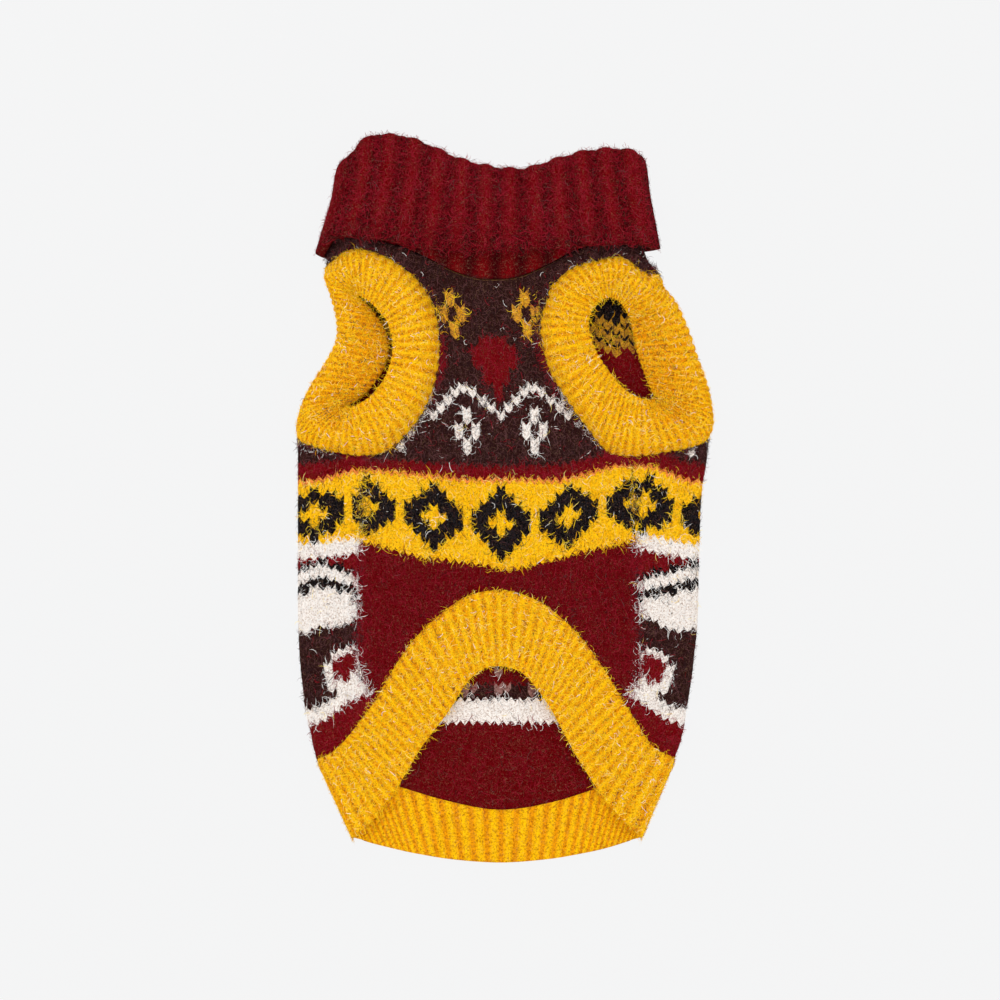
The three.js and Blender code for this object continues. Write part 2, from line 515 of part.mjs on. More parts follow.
// A hem band of fine ribs that run from its seam to its free edge, placed on the cloth by place(x, y).
function hemBand(table, ribs, ribHeight, place) {
  const ends = table.map((row) => [row.seamX, row.edgeX, row.edgeY]);
  const mid = (u, v) => {
    const [seamX, edgeX, edgeY] = along(ends, u).map((c, k) => (k < 2 ? c + SIDE_GAP * (0.5 - u) : c));
    const seamY = lookup(table, "seamX", "seamY", seamX);
    const start = (SEAM_GAP + FACET_ROOM) / Math.hypot(edgeX - seamX, edgeY - seamY);
    const t = mix(start, 1, v);
    return place(mix(seamX, edgeX, t), mix(seamY, edgeY, t));
  };
  const columns = evenly(2 * ribs);
  const raise = (i) => (i % 2 === 1 ? ribHeight : 0);
  return wall({ columns, rows: evenly(2), mid, thickness: RIB_CLOTH, raise, ribbed: -1 });
}

// The cuff round a leg opening: out of the seam in line with the cloth, up over a crest and down to its lip.
function cuff({ sections, seam: seamAt }, ribbed) {
  const rows = sections.length;
  const centre = [0, 1].map((k) => sections.reduce((sum, _, i) => sum + seamAt(i / rows)[k], 0) / rows);
  const column = (name) => sections.map((row) => [row[name]].flat());
  const [crests, lips, bulges] = [column("crest"), column("lip"), column("bulge")];
  const points = remembered((u) => {
    const step = 1e-3;
    const seam = seamAt(u);
    const [a, b] = [seamAt(u - step), seamAt(u + step)];
    const turned = [a[1] - b[1], b[0] - a[0]];
    const towards = Math.sign(turned[0] * (centre[0] - seam[0]) + turned[1] * (centre[1] - seam[1]));
    const into = acrossCloth(seam, turned.map((c) => c * towards));
    const cloth = (reach) => bodyPoint(seam[0] + reach * into[0], seam[1] + reach * into[1]);
    const crest = along(crests, u, true);
    const lip = along(lips, u, true);
    const bulge = along(bulges, u, true)[0];
    const gap = SEAM_GAP + CUFF_FACET_ROOM;
    const [start, lead] = [cloth(gap), cloth(gap + CUFF_LEAD)];
    const out = new THREE.Vector2(crest[0] - lip[0], crest[1] - lip[1]).normalize().multiplyScalar(bulge);
    const side = [0, 1, 2].map((k) => mix(lead[k], crest[k], 0.5) + [out.x, out.y, 0][k]);
    const slope = [0, 1, 2].map((k) => mix(crest[k], lip[k], 0.5) + [0, 0, 0.8][k]);
    return [start, lead, side, crest, slope, lip];
  });
  const mid = (u, v) => polyline(points(u), v);
  const columns = evenly(2 * CUFF_RIBS).slice(0, -1);
  const raise = (i, v) => (i % 2 === 1 ? CUFF_RIB_RAISE * smoothstep(0.2, 0.4, v) : 0);
  return wall({ columns, rows: evenly(5), mid, thickness: RIB_CLOTH, raise, ribbed, ring: true });
}

// The collar: up from the neck seam, over a fold at the top and down again outside.
function collar() {
  const rings = COLLAR_RINGS.map(({ rise, spread, left, right }) => [rise, spread, left, right]);
  const innerHalf = LAYER_PITCH / 2;
  // Round a ring from 0 to 1: over the belly side, the right fold, the back and the left fold.
  const around = (u) => {
    const flat = 0.5 - COLLAR_FOLD_SHARE;
    const t = ((u % 1) + 1) % 1;
    const half = t < 0.5 ? 1 : -1;
    const place = t < 0.5 ? t : t - 0.5;
    if (place < flat) return { across: half * (2 * (place / flat) - 1), turn: 0, half };
    return { across: half, turn: (Math.PI * (place - flat)) / COLLAR_FOLD_SHARE, half };
  };
  const mid = (u, v) => {
    const [rise, spread, left, right] = along(rings, v);
    const { across, turn, half } = around(u);
    const radius = mix(innerHalf, COLLAR_OUTER_HALF, spread);
    const straight = (right - left) / 2 - radius;
    const x = (left + right) / 2 + across * straight + half * radius * Math.sin(turn);
    const over = (1 + half * Math.cos(turn)) / 2;
    const lower = (table) => mix(lookup(table, "x", "back", x), lookup(table, "x", "belly", x), over);
    const inner = lower(NECK_SEAM) + SEAM_GAP + FACET_ROOM;
    const foot = mix(inner, lower(COLLAR_EDGES), smoothstep(0.3, 0.7, spread));
    const y = mix(foot, lookup(COLLAR_EDGES, "x", "top", x), rise);
    const innerCentre = CLOTH / 2 + section(y).lift + innerHalf;
    return [x, y, mix(innerCentre, COLLAR_CENTRE_Z, spread) + half * radius * Math.cos(turn)];
  };
  const columns = evenly(3 * COLLAR_RIBS).slice(0, -1);
  const raise = (i, v) => (i % 3 === 0 ? 0 : COLLAR_RIB_RAISE * smoothstep(0.35, 0.6, v));
  const rows = evenly(COLLAR_RINGS.length - 1);
  return wall({ columns, rows, mid, thickness: RIB_CLOTH, raise, ribbed: -1, ring: true });
}

const YARN = { roughness: 0.9, metalness: 0 };
const maroon = new THREE.MeshStandardMaterial({ color: 0x760c1b, ...YARN });
const yellow = new THREE.MeshStandardMaterial({ color: 0xf2b012, ...YARN });
const brown = new THREE.MeshStandardMaterial({ color: 0x3c1e1e, ...YARN });

function piece(name, geometry, material) {
  const mesh = new THREE.Mesh(geometry, material);
  mesh.name = name;
  return mesh;
}

const pieces = new THREE.Group();
pieces.add(
  piece("back_panel", backPanel(), brown),
  piece("belly_panel", bellyPanel(), maroon),
  piece("collar", collar(), maroon),
  piece("cuff_left", cuff(LEG_LEFT, 1), yellow),
  piece("cuff_right", cuff(LEG_RIGHT, -1), yellow),
  piece("belly_hem", hemBand(BELLY_HEM, BELLY_HEM_RIBS, HEM_RIB_RAISE, bellyPoint), yellow),
  piece("back_hem", hemBand(BACK_HEM, BACK_HEM_RIBS, BACK_HEM_RIB_RAISE, bodyPoint), yellow),
);

// The origin is under the middle of the sweater's box.
const middle = new THREE.Box3().setFromObject(pieces).getCenter(new THREE.Vector3());
pieces.position.set(-middle.x, -middle.y, 0);

const sweater = new THREE.Group();
sweater.add(pieces);

export default sweater;
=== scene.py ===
"""The looks of a knitted dog sweater that lies flat, belly side up.

Places and sizes are in millimetres, on the same drawing as the solids: +X to the right and +Y to the
neck as one looks down, +Z up. ORIGIN moves them into the row frame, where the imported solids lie.
Cloth is drawn course by course: across a panel along its stitches, and up it along its wales.
"""

import math

import bpy
import numpy as np
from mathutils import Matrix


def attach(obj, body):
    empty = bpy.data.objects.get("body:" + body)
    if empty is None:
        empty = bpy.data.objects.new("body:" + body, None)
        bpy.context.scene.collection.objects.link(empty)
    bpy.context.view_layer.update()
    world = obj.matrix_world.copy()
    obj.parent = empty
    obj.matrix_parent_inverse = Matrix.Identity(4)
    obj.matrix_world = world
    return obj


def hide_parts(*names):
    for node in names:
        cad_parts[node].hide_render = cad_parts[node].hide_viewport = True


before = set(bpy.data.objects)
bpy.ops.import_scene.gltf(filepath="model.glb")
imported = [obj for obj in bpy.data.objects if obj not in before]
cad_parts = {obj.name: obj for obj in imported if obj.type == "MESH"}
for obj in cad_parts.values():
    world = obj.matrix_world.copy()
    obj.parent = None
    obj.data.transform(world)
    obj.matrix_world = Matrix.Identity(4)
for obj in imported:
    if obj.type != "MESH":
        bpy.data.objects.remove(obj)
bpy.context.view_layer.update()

ORIGIN = np.array([-0.217, -0.537, 0.0])
METRE = 0.001

# The cloth, as in the solids.
CLOTH = 3.0
RIB_CLOTH = 3.2
LAYER_PITCH = 4.2
FOLD_REACH = 28.0
SEAM_GAP = 0.3
HALF_CLOTH = CLOTH / 2
# The lowest that yarn and loose fibres lie over the surface below, and how much thinner than its solid a
# panel and a band are on the inside, to leave room for their yarn.
YARN_REST = 0.02
FIBRE_REST = 0.05
PANEL_INSET = 0.15
BAND_INSET = 0.1

# The knitting: one stitch and one course of the panels, and how deep the V of a stitch is.
STITCH = 4.2
COURSE = 3.9
V_DEPTH = 2.6

# Colours of the yarn, as they look, among them colours of painted shade that are marked below.
MAROON = (110, 6, 12)
DARK_MAROON = (97, 4, 9)
# Painted shade: the colour of the collar's rib valleys, a darker maroon than its yarn.
MAROON_IN_SHADE = (62, 3, 8)
YELLOW = (253, 196, 12)
CHEST_YELLOW = (214, 152, 48)
# Painted shade: the chest yellow dulled, for yellow floats seen in the shade of the leg opening.
CHEST_YELLOW_IN_SHADE = (190, 138, 40)
# Painted shade: the colour of the yellow bands' rib valleys and of the cuffs' shaded outer side.
YELLOW_IN_SHADE = (230, 146, 8)
PEACH = (238, 142, 66)
BROWN = (45, 21, 20)
BLACK = (13, 12, 14)
WHITE = (246, 241, 237)
PINK_GREY = (150, 112, 108)

WORLD_LIGHT = 1.1
KEY_LIGHT = 20

# ---------------------------------------------------------------- forms
# The flattened tube of the body: y, left edge, right edge, radius of the side folds, lift of the neck.
BODY = [
    (-168, -76.0, 68.0, 4.0, 0),
    (-154, -82.3, 73.9, 4.0, 0),
    (-140, -88.6, 79.8, 4.0, 0),
    (-129, -93.5, 84.5, 4.0, 0),
    (-115, -97.0, 88.5, 4.0, 0),
    (-100, -100.0, 91.0, 4.0, 0),
    (-70, -102.5, 95.0, 4.0, 0),
    (-30, -103.0, 96.5, 4.0, 0),
    (0, -103.0, 97.5, 4.0, 0),
    (30, -103.0, 101.0, 4.0, 0),
    (70, -99.0, 98.0, 4.0, 0),
    (100, -93.0, 85.0, 3.4, 0),
    (106, -91.5, 80.0, 3.0, 0.9),
    (113, -89.5, 75.5, 2.6, 3.4),
    (118, -88.4, 71.5, 2.4, 4.5),
    (124, -87.0, 69.4, 2.3, 5.0),
    (133, -85.6, 68.4, 2.3, 5.1),
]

# The side seams on the belly side: y, left, right.
SIDE_SEAM = [
    (-101, -65.5, 59.5),
    (-92, -69.5, 65.5),
    (-80, -73.0, 67.5),
    (-60, -74.0, 67.0),
    (-26, -73.0, 65.5),
    (0, -71.5, 64.5),
    (21, -70.5, 63.5),
]

# The neck seam: x, y on the belly side, y on the back.
NECK_SEAM = [
    (-92.0, 129.5, 129.5),
    (-80.0, 130.0, 129.0),
    (-68.0, 129.5, 128.0),
    (-54.0, 126.5, 127.0),
    (-39.0, 120.0, 126.5),
    (-24.0, 113.0, 126.0),
    (-9.0, 109.8, 126.0),
    (6.0, 110.8, 126.0),
    (21.0, 116.5, 126.5),
    (36.0, 124.0, 127.0),
    (52.0, 127.8, 128.0),
    (62.0, 128.0, 128.5),
    (78.0, 127.5, 128.5),
]

# Ribs of the hem bands: x and y where one leaves the seam, x and y at its free edge.
BELLY_HEM = [
    (-94.3, -129.0, -76.8, -168.0),
    (-87.0, -126.0, -66.0, -159.0),
    (-80.0, -119.5, -56.5, -147.0),
    (-72.5, -110.3, -49.0, -135.0),
    (-65.5, -101.0, -42.5, -124.0),
    (-57.0, -86.3, -34.5, -113.5),
    (-48.5, -73.3, -27.5, -104.3),
    (-34.5, -58.8, -20.0, -92.3),
    (-19.5, -48.3, -12.0, -84.8),
    (-3.0, -44.9, -2.0, -82.8),
    (15.5, -49.8, 8.0, -85.8),
    (30.5, -60.8, 15.5, -93.3),
    (40.5, -71.8, 21.5, -101.8),
    (50.0, -85.3, 27.0, -111.3),
    (59.5, -101.0, 34.0, -124.3),
    (66.0, -111.3, 42.0, -137.3),
    (73.5, -122.0, 53.0, -153.0),
    (85.3, -129.0, 68.8, -168.0),
]
BACK_HEM = [
    (-94.3, -129.0, -76.8, -168.0),
    (-84.0, -133.5, -68.0, -171.0),
    (-70.0, -138.3, -56.0, -174.0),
    (-54.5, -142.6, -44.5, -176.5),
    (-29.5, -150.0, -25.5, -179.5),
    (-2.0, -154.6, -2.0, -181.0),
    (25.5, -150.3, 21.5, -179.3),
    (45.5, -144.0, 38.5, -176.5),
    (60.0, -139.0, 50.0, -174.0),
    (74.0, -134.5, 60.0, -171.0),
    (85.3, -129.0, 68.8, -168.0),
]

# Sections of the cuffs: where the seam runs, the seam's place, the crest and the lip, and the bulge.
ON_BELLY, ON_BACK = "belly", "back"
CUFF_LEFT = [
    (ON_BELLY, (-70.5, 21.7), (-72.0, 31.0, 14.0), (-76.0, 45.5, 9.2), 2.0),
    (ON_BELLY, (-57.5, 24.6), (-60.0, 35.5, 14.4), (-68.5, 49.5, 9.8), 2.0),
    (ON_BELLY, (-43.0, 40.0), (-49.5, 46.0, 14.4), (-62.0, 56.0, 10.2), 2.0),
    (ON_BELLY, (-35.0, 58.0), (-42.5, 61.0, 14.6), (-57.0, 65.5, 10.6), 2.0),
    (ON_BELLY, (-32.5, 78.0), (-40.5, 78.0, 14.8), (-55.0, 77.5, 10.8), 2.0),
    (ON_BELLY, (-36.0, 98.0), (-44.0, 94.0, 15.4), (-57.5, 88.0, 11.0), 2.0),
    (ON_BELLY, (-46.5, 113.0), (-52.5, 106.0, 16.0), (-62.5, 95.0, 11.4), 2.0),
    (ON_BELLY, (-62.0, 122.5), (-64.5, 114.5, 16.8), (-68.0, 100.0, 11.8), 1.8),
    (ON_BELLY, (-75.0, 125.2), (-75.5, 117.0, 17.2), (-72.0, 102.5, 11.8), 1.6),
    (ON_BELLY, (-82.9, 122.0), (-82.2, 112.6, 17.0), (-73.8, 102.2, 10.8), 1.0),
    (ON_BACK, (-87.0, 115.0), (-84.5, 106.8, 16.0), (-73.0, 99.5, 9.4), 1.2),
    (ON_BACK, (-80.5, 104.0), (-81.5, 99.5, 14.5), (-68.0, 94.5, 7.0), 3.0),
    (ON_BACK, (-77.0, 91.0), (-79.0, 89.5, 12.8), (-61.5, 86.0, 5.4), 3.0),
    (ON_BACK, (-77.0, 78.0), (-79.0, 79.5, 12.0), (-58.5, 76.5, 5.0), 3.0),
    (ON_BACK, (-82.0, 63.0), (-84.5, 69.0, 12.0), (-61.0, 66.0, 5.0), 3.2),
    (ON_BACK, (-89.5, 48.0), (-91.5, 58.5, 12.0), (-66.5, 57.5, 5.2), 3.6),
    (ON_BACK, (-97.0, 36.0), (-96.5, 49.0, 11.8), (-73.0, 52.0, 5.3), 2.6),
    (ON_BACK, (-104.5, 28.8), (-96.0, 41.0, 12.4), (-77.5, 49.0, 5.8), 2.2),
    (ON_BACK, (-112.0, 25.6), (-92.0, 35.0, 13.8), (-78.8, 46.8, 7.0), 2.0),
    (ON_BELLY, (-84.0, 23.3), (-83.0, 31.5, 14.2), (-78.5, 45.6, 8.2), 2.0),
]
CUFF_RIGHT = [
    (ON_BELLY, (63.5, 21.3), (64.0, 30.5, 14.2), (66.0, 50.5, 9.2), 2.0),
    (ON_BELLY, (50.5, 24.0), (53.5, 34.0, 14.4), (59.0, 54.5, 9.6), 2.0),
    (ON_BELLY, (40.0, 36.5), (45.0, 43.5, 14.4), (53.0, 61.0, 10.0), 2.0),
    (ON_BELLY, (29.5, 51.5), (36.0, 57.0, 14.6), (48.0, 68.0, 10.2), 2.0),
    (ON_BELLY, (21.0, 67.5), (28.5, 70.5, 14.6), (43.5, 76.5, 10.4), 2.0),
    (ON_BELLY, (17.5, 86.0), (25.5, 86.5, 14.8), (40.8, 86.5, 10.6), 2.0),
    (ON_BELLY, (21.5, 103.0), (29.0, 99.5, 15.6), (42.5, 94.5, 10.8), 2.0),
    (ON_BELLY, (32.0, 115.0), (38.0, 109.0, 16.4), (46.5, 99.5, 11.0), 1.8),
    (ON_BELLY, (46.0, 119.2), (48.5, 113.0, 17.0), (51.0, 101.5, 11.2), 1.6),
    (ON_BELLY, (57.5, 121.4), (58.0, 113.0, 17.0), (55.0, 100.8, 11.0), 1.6),
    (ON_BELLY, (67.4, 116.0), (66.5, 107.2, 16.4), (58.5, 98.2, 10.0), 0.4),
    (ON_BACK, (74.6, 107.6), (74.0, 100.8, 15.4), (61.0, 94.5, 8.4), 0.6),
    (ON_BACK, (77.5, 99.0), (80.0, 95.0, 14.0), (63.5, 88.5, 6.4), 3.0),
    (ON_BACK, (83.0, 85.0), (86.0, 84.0, 12.8), (65.0, 80.5, 5.6), 3.4),
    (ON_BACK, (87.0, 70.0), (90.5, 71.0, 12.4), (67.5, 71.0, 5.2), 4.0),
    (ON_BACK, (91.0, 55.0), (95.5, 58.5, 12.4), (70.5, 62.0, 5.2), 4.4),
    (ON_BACK, (94.5, 41.0), (98.5, 48.5, 12.0), (73.5, 55.0, 5.3), 3.4),
    (ON_BACK, (101.5, 31.0), (97.5, 40.5, 12.4), (75.0, 51.0, 5.8), 2.6),
    (ON_BACK, (109.0, 26.0), (91.5, 34.5, 13.8), (74.0, 49.3, 7.2), 2.2),
    (ON_BELLY, (80.0, 23.6), (78.5, 31.0, 14.2), (71.0, 49.0, 8.4), 2.0),
]
CUFF_START = 0.85
CUFF_LEAD = 1.5

# The collar: x, top fold, free edge on the belly side, free edge on the back.
COLLAR_EDGES = [
    (-93.0, 150.0, 122.0, 119.5),
    (-84.0, 160.0, 129.4, 120.0),
    (-75.0, 170.5, 130.2, 121.5),
    (-66.0, 178.3, 129.6, 122.5),
    (-54.0, 178.6, 127.4, 123.0),
    (-39.0, 174.0, 124.4, 123.0),
    (-24.0, 167.4, 123.2, 123.0),
    (-4.0, 162.6, 123.0, 123.0),
    (8.0, 162.0, 123.8, 123.0),
    (26.0, 167.0, 124.6, 123.0),
    (41.0, 171.0, 126.0, 123.0),
    (56.0, 172.0, 126.6, 123.4),
    (66.0, 169.0, 126.4, 123.8),
    (76.0, 158.5, 125.0, 124.2),
]
# Its rings from the neck seam up, over and down: rise, spread, left, right.
COLLAR_RINGS = [
    (0.0, 0, -84.2, 67.0),
    (0.35, 0, -81.5, 66.0),
    (0.7, 0, -78.5, 64.6),
    (0.955, 0.12, -77.0, 63.4),
    (1.0, 0.5, -79.0, 65.4),
    (0.955, 0.9, -81.4, 67.6),
    (0.66, 1, -83.5, 69.4),
    (0.33, 1, -87.5, 72.2),
    (0.0, 1, -91.4, 74.6),
]
COLLAR_CENTRE_Z = 8.7
COLLAR_OUTER_HALF = 6.8
COLLAR_FOLD_SHARE = 0.06
COLLAR_RIBS = 26
COLLAR_RIB_RISE = 2.0
CUFF_RIBS = 68
CUFF_RIB_RISE = 0.9
HEM_RIBS = 52
HEM_RIB_RISE = 0.9
BACK_HEM_RIBS = 36
BACK_HEM_RIB_RISE = 0.3
# How far a hem band starts off its seam, and the collar off the neck seam.
HEM_START = 0.02
COLLAR_START = 0.75


def curve(rows, column, key=0):
    """A smooth curve through one column of a table, as the solids draw it."""
    xs = np.array([row[key] for row in rows], float)
    vs = np.array([row[column] for row in rows], float)
    secant = np.diff(vs) / np.diff(xs)
    slope = np.zeros_like(vs)
    slope[0], slope[-1] = secant[0], secant[-1]
    mean = (secant[:-1] + secant[1:]) / 2
    slope[1:-1] = np.where(secant[:-1] * secant[1:] > 0, mean, 0)

    def at(x):
        x = np.clip(x, xs[0], xs[-1])
        i = np.clip(np.searchsorted(xs, x, side="right") - 1, 0, len(xs) - 2)
        span = xs[i + 1] - xs[i]
        t = (x - xs[i]) / span
        stay = (1 + 2 * t) * (1 - t) ** 2
        bend = t * (1 - t) ** 2 * slope[i] + t * t * (t - 1) * slope[i + 1]
        return stay * vs[i] + (1 - stay) * vs[i + 1] + span * bend

    return at


def bent(a, b, c, d, f):
    """A share f of the way from b to c, on the smooth curve that also passes a and d."""
    return b + 0.5 * f * (c - a + f * (2 * a - 5 * b + 4 * c - d + f * (3 * (b - c) + d - a)))


def spline(points, t, closed=False):
    """The points a share t along a smooth curve through points."""
    points = np.asarray(points, float)
    t = np.asarray(t, float)
    count = len(points)
    spans = count if closed else count - 1
    place = (t % 1) * spans if closed else np.clip(t, 0, 1) * spans
    i = np.minimum(place.astype(int), spans - 1)
    f = (place - i)[..., None]

    def pick(k):
        return points[k % count] if closed else points[np.clip(k, 0, count - 1)]

    return bent(pick(i - 1), pick(i), pick(i + 1), pick(i + 2), f)


def mix(a, b, t):
    return a + t * (b - a)


def smoothstep(low, high, at):
    t = np.clip((at - low) / (high - low), 0, 1)
    return t * t * (3 - 2 * t)


body_left, body_right, body_fold, body_lift = (curve(BODY, k) for k in (1, 2, 3, 4))
neck_belly, neck_back = curve(NECK_SEAM, 1), curve(NECK_SEAM, 2)
belly_hem_y, back_hem_y = curve(BELLY_HEM, 1), curve(BACK_HEM, 1)


def tangents(y):
    """Where the side folds begin, left and right."""
    edge = body_fold(y) + HALF_CLOTH
    return body_left(y) + edge, body_right(y) - edge


def belly_z(x, y):
    left, right = tangents(y)
    inside = np.maximum(np.minimum(x - left, right - x), 0)
    swell = (2 * body_fold(y) - LAYER_PITCH) * np.maximum(1 - (inside / FOLD_REACH) ** 2, 0) ** 4
    return HALF_CLOTH + body_lift(y) + LAYER_PITCH + swell


def body_point(distance, y):
    """Points of the body at mid cloth, by the distance over the cloth from the middle of the back."""
    distance, y = np.broadcast_arrays(np.asarray(distance, float), np.asarray(y, float))
    left, right = tangents(y)
    side = np.where(distance < 0, -1.0, 1.0)
    tangent = np.where(side > 0, right, left)
    fold = body_fold(y)
    past = np.abs(distance) - np.abs(tangent)
    base = HALF_CLOTH + body_lift(y)
    turn = np.clip(past / fold, 0, math.pi)
    belly_x = tangent - side * (past - math.pi * fold)
    x = np.where(past <= 0, distance, tangent + side * fold * np.sin(turn))
    x = np.where(past >= math.pi * fold, belly_x, x)
    z = np.where(past <= 0, base, base + fold * (1 - np.cos(turn)))
    z = np.where(past >= math.pi * fold, belly_z(belly_x, y), z)
    return np.stack([x, y, z], -1)


def wrap_distance(x, y):
    """The distance over the cloth of a place on the belly side."""
    left, right = tangents(y)
    side = np.where(np.asarray(x) < 0, -1.0, 1.0)
    tangent = np.where(side > 0, right, left)
    return side * (np.abs(tangent) + math.pi * body_fold(y) + side * (tangent - x))


def belly_x(distance, y, side):
    """The x on the belly side of a distance over the cloth."""
    left, right = tangents(y)
    tangent = right if side > 0 else left
    return tangent - side * (np.abs(distance) - np.abs(tangent) - math.pi * body_fold(y))


def belly_point(x, y):
    return body_point(wrap_distance(x, y), y)


class LegOpening:
    """The seam round a leg opening, and its belly side and back side by height."""

    def __init__(self, sections, side):
        self.sections = sections
        self.side = side
        self.places = np.array(
            [
                [wrap_distance(x, y) if where == ON_BELLY else x, y]
                for where, (x, y), *_ in sections
            ]
        )
        top = self.places[:, 1].argmax() / len(sections)
        belly = self.seam(np.linspace(0, top, 800))
        back = self.seam(np.linspace(1, top, 800))
        self.belly_line = (np.maximum.accumulate(belly[:, 1]), belly[:, 0])
        self.back_line = (np.maximum.accumulate(back[:, 1]), back[:, 0])
        self.foot, self.peak = self.places[0], self.seam(top)
        self.peak_x = body_point(*self.peak)[0]

    def seam(self, t):
        return spline(self.places, t, closed=True)

    def limit(self, y, on_belly):
        """The panel's edge at a height, as a distance over the cloth."""
        rows, distances = self.belly_line if on_belly else self.back_line
        seam_x = SIDE_SEAM_X[self.side](y)
        below = wrap_distance(seam_x, y)
        above = wrap_distance(self.peak_x, y)
        inside = np.interp(y, rows, distances)
        return np.where(y < self.foot[1], below, np.where(y > self.peak[1], above, inside))


SIDE_SEAM_X = {-1: curve(SIDE_SEAM, 1), 1: curve(SIDE_SEAM, 2)}
LEG_LEFT = LegOpening(CUFF_LEFT, -1)
LEG_RIGHT = LegOpening(CUFF_RIGHT, 1)


# ---------------------------------------------------------------- meshes
def linear(colour):
    """A colour as it looks, from 0 to 255, as light."""
    c = np.asarray(colour, float) / 255
    return np.where(c <= 0.04045, c / 12.92, ((c + 0.055) / 1.055) ** 2.4)


def new_mesh(name, points, faces, colours=None):
    """A mesh object of triangles, with a colour for each of them where it has any."""
    mesh = bpy.data.meshes.new(name)
    faces = np.asarray(faces, np.int32)
    mesh.vertices.add(len(points))
    mesh.vertices.foreach_set("co", ((np.asarray(points) + ORIGIN) * METRE).ravel())
    mesh.loops.add(faces.size)
    mesh.loops.foreach_set("vertex_index", faces.ravel())
    mesh.polygons.add(len(faces))
    mesh.polygons.foreach_set("loop_start", np.arange(0, faces.size, 3, dtype=np.int32))
    mesh.polygons.foreach_set("loop_total", np.full(len(faces), 3, np.int32))
    mesh.update(calc_edges=True)
    if colours is not None:
        layer = mesh.color_attributes.new("yarn", "FLOAT_COLOR", "CORNER")
        rgba = np.ones((len(faces), 3, 4), np.float32)
        rgba[..., :3] = colours[:, None, :]
        layer.data.foreach_set("color", rgba.ravel())
    mesh.shade_smooth()
    obj = bpy.data.objects.new(name, mesh)
    bpy.context.scene.collection.objects.link(obj)
    return obj


def rim(faces):
    """Edges that only one face uses, in the direction that face uses them."""
    edges = np.concatenate([faces[:, [0, 1]], faces[:, [1, 2]], faces[:, [2, 0]]])
    key = np.sort(edges, axis=1)
    _, first, count = np.unique(key, axis=0, return_index=True, return_counts=True)
    return edges[first[count == 1]]


def normals_of(place, a, b, step=0.02):
    """Unit normals of a surface place(a, b), on the side that +a and +b turn about."""
    across = place(a + step, b) - place(a - step, b)
    up = place(a, b + step) - place(a, b - step)
    normal = np.cross(across, up)
    return normal / np.linalg.norm(normal, axis=-1, keepdims=True)


def grid_faces(rows, columns, ring=False):
    """Two triangles for each cell of a grid, and the cell's row and column."""
    spans = columns if ring else columns - 1
    j, i = np.meshgrid(np.arange(rows - 1), np.arange(spans), indexing="ij")
    n = (i + 1) % columns
    a, b = j * columns + i, j * columns + n
    c, d = (j + 1) * columns + n, (j + 1) * columns + i
    faces = np.concatenate([np.stack([a, b, c], -1), np.stack([a, c, d], -1)]).reshape(-1, 3)
    cells = np.tile(np.stack([j, i], -1).reshape(-1, 2), (2, 1))
    return faces, cells


def thick(name, face_side, back_side, faces, face_colours, back_colours, flip):
    """A closed shell of two sheets of points over the same faces."""
    count = len(face_side)
    turned = faces[:, [0, 2, 1]]
    front, back = (turned, faces) if flip else (faces, turned)
    edge = rim(front)
    walls = np.concatenate(
        [
            np.stack([edge[:, 1], edge[:, 0], edge[:, 0] + count], -1),
            np.stack([edge[:, 1], edge[:, 0] + count, edge[:, 1] + count], -1),
        ]
    )
    wall_colour = face_colours.mean(axis=0)
    colours = np.concatenate(
        [face_colours, back_colours, np.tile(wall_colour, (len(walls), 1))]
    )
    points = np.concatenate([face_side, back_side])
    all_faces = np.concatenate([front, back + count, walls])
    return new_mesh(name, points, all_faces, colours)


# ---------------------------------------------------------------- knitting
ROWS_PER_COURSE = 2
ROW = COURSE / ROWS_PER_COURSE
# How far the yarn of a stitch stands out, over lines of points from its left side to its right.
LEG_PROFILE = np.array([-0.34, 0.08, 0.30, -0.10, 0.30, 0.08])


class Chart:
    """The colours of a panel's stitches, by half courses counted up from foot, in millimetres of cloth."""

    def __init__(self, middle, stitches, foot, top, ground):
        self.left, self.foot = middle - STITCH * stitches / 2, foot
        self.shape = (math.ceil((top - foot) / ROW), stitches)
        self.cells = np.empty(self.shape + (3,))
        self.cells[:] = ground
        self.columns = self.left + STITCH * (np.arange(stitches) + 0.5)
        self.rows = foot + ROW * (np.arange(self.shape[0]) + 0.5)

    def band(self, low, high, colour):
        """A stripe, its edges level or given for each stitch."""
        low, high = np.broadcast_to(low, self.shape[1]), np.broadcast_to(high, self.shape[1])
        self.cells[(self.rows[:, None] >= low) & (self.rows[:, None] < high)] = colour

    def motif(self, drawing, x, y, inks):
        """Knits a drawing, a string for each course from the top, centred on a place."""
        first = int(round((x - self.left) / STITCH - len(drawing[0]) / 2))
        top = int(round((y - self.foot) / ROW)) + len(drawing) * ROWS_PER_COURSE // 2
        for j, line in enumerate(drawing):
            low = top - ROWS_PER_COURSE * (j + 1)
            for i, mark in enumerate(line):
                if mark in inks and 0 <= first + i < self.shape[1]:
                    self.cells[max(low, 0) : max(low + ROWS_PER_COURSE, 0), first + i] = inks[mark]

    def repeat(self, drawing, x, y, step, inks):
        """Knits a drawing again and again, step stitches apart, all the way across."""
        count = self.shape[1] // step + 1
        for k in range(-count, count + 1):
            self.motif(drawing, x + k * step * STITCH, y, inks)


PETALS = [".#.", ".#.", "#.#", "#.#", ".#.", ".#."]
HEART = [".###.", "#####", "#####", "#####", ".###.", ".###.", "..#..", "..#.."]
LOZENGES = [
    "...#....",
    "..###...",
    ".#####..",
    "###.###.",
    "##...##.",
    "###.###.",
    ".#####..",
    "..###...",
    "...#....",
]
SMALL_LOZENGES = [
    "...#....",
    ".#####..",
    "###.###.",
    "##...##.",
    "###.###.",
    ".#####..",
    "...#....",
]
ROUNDEL = [".ooo.", "o###o", "o###o", "o###o", "oo#oo", ".ooo."]
PEAK_STEP = 8
PEAK_RISE = np.array([0, 1, 2, 3, 3.5, 3, 2, 1]) * COURSE


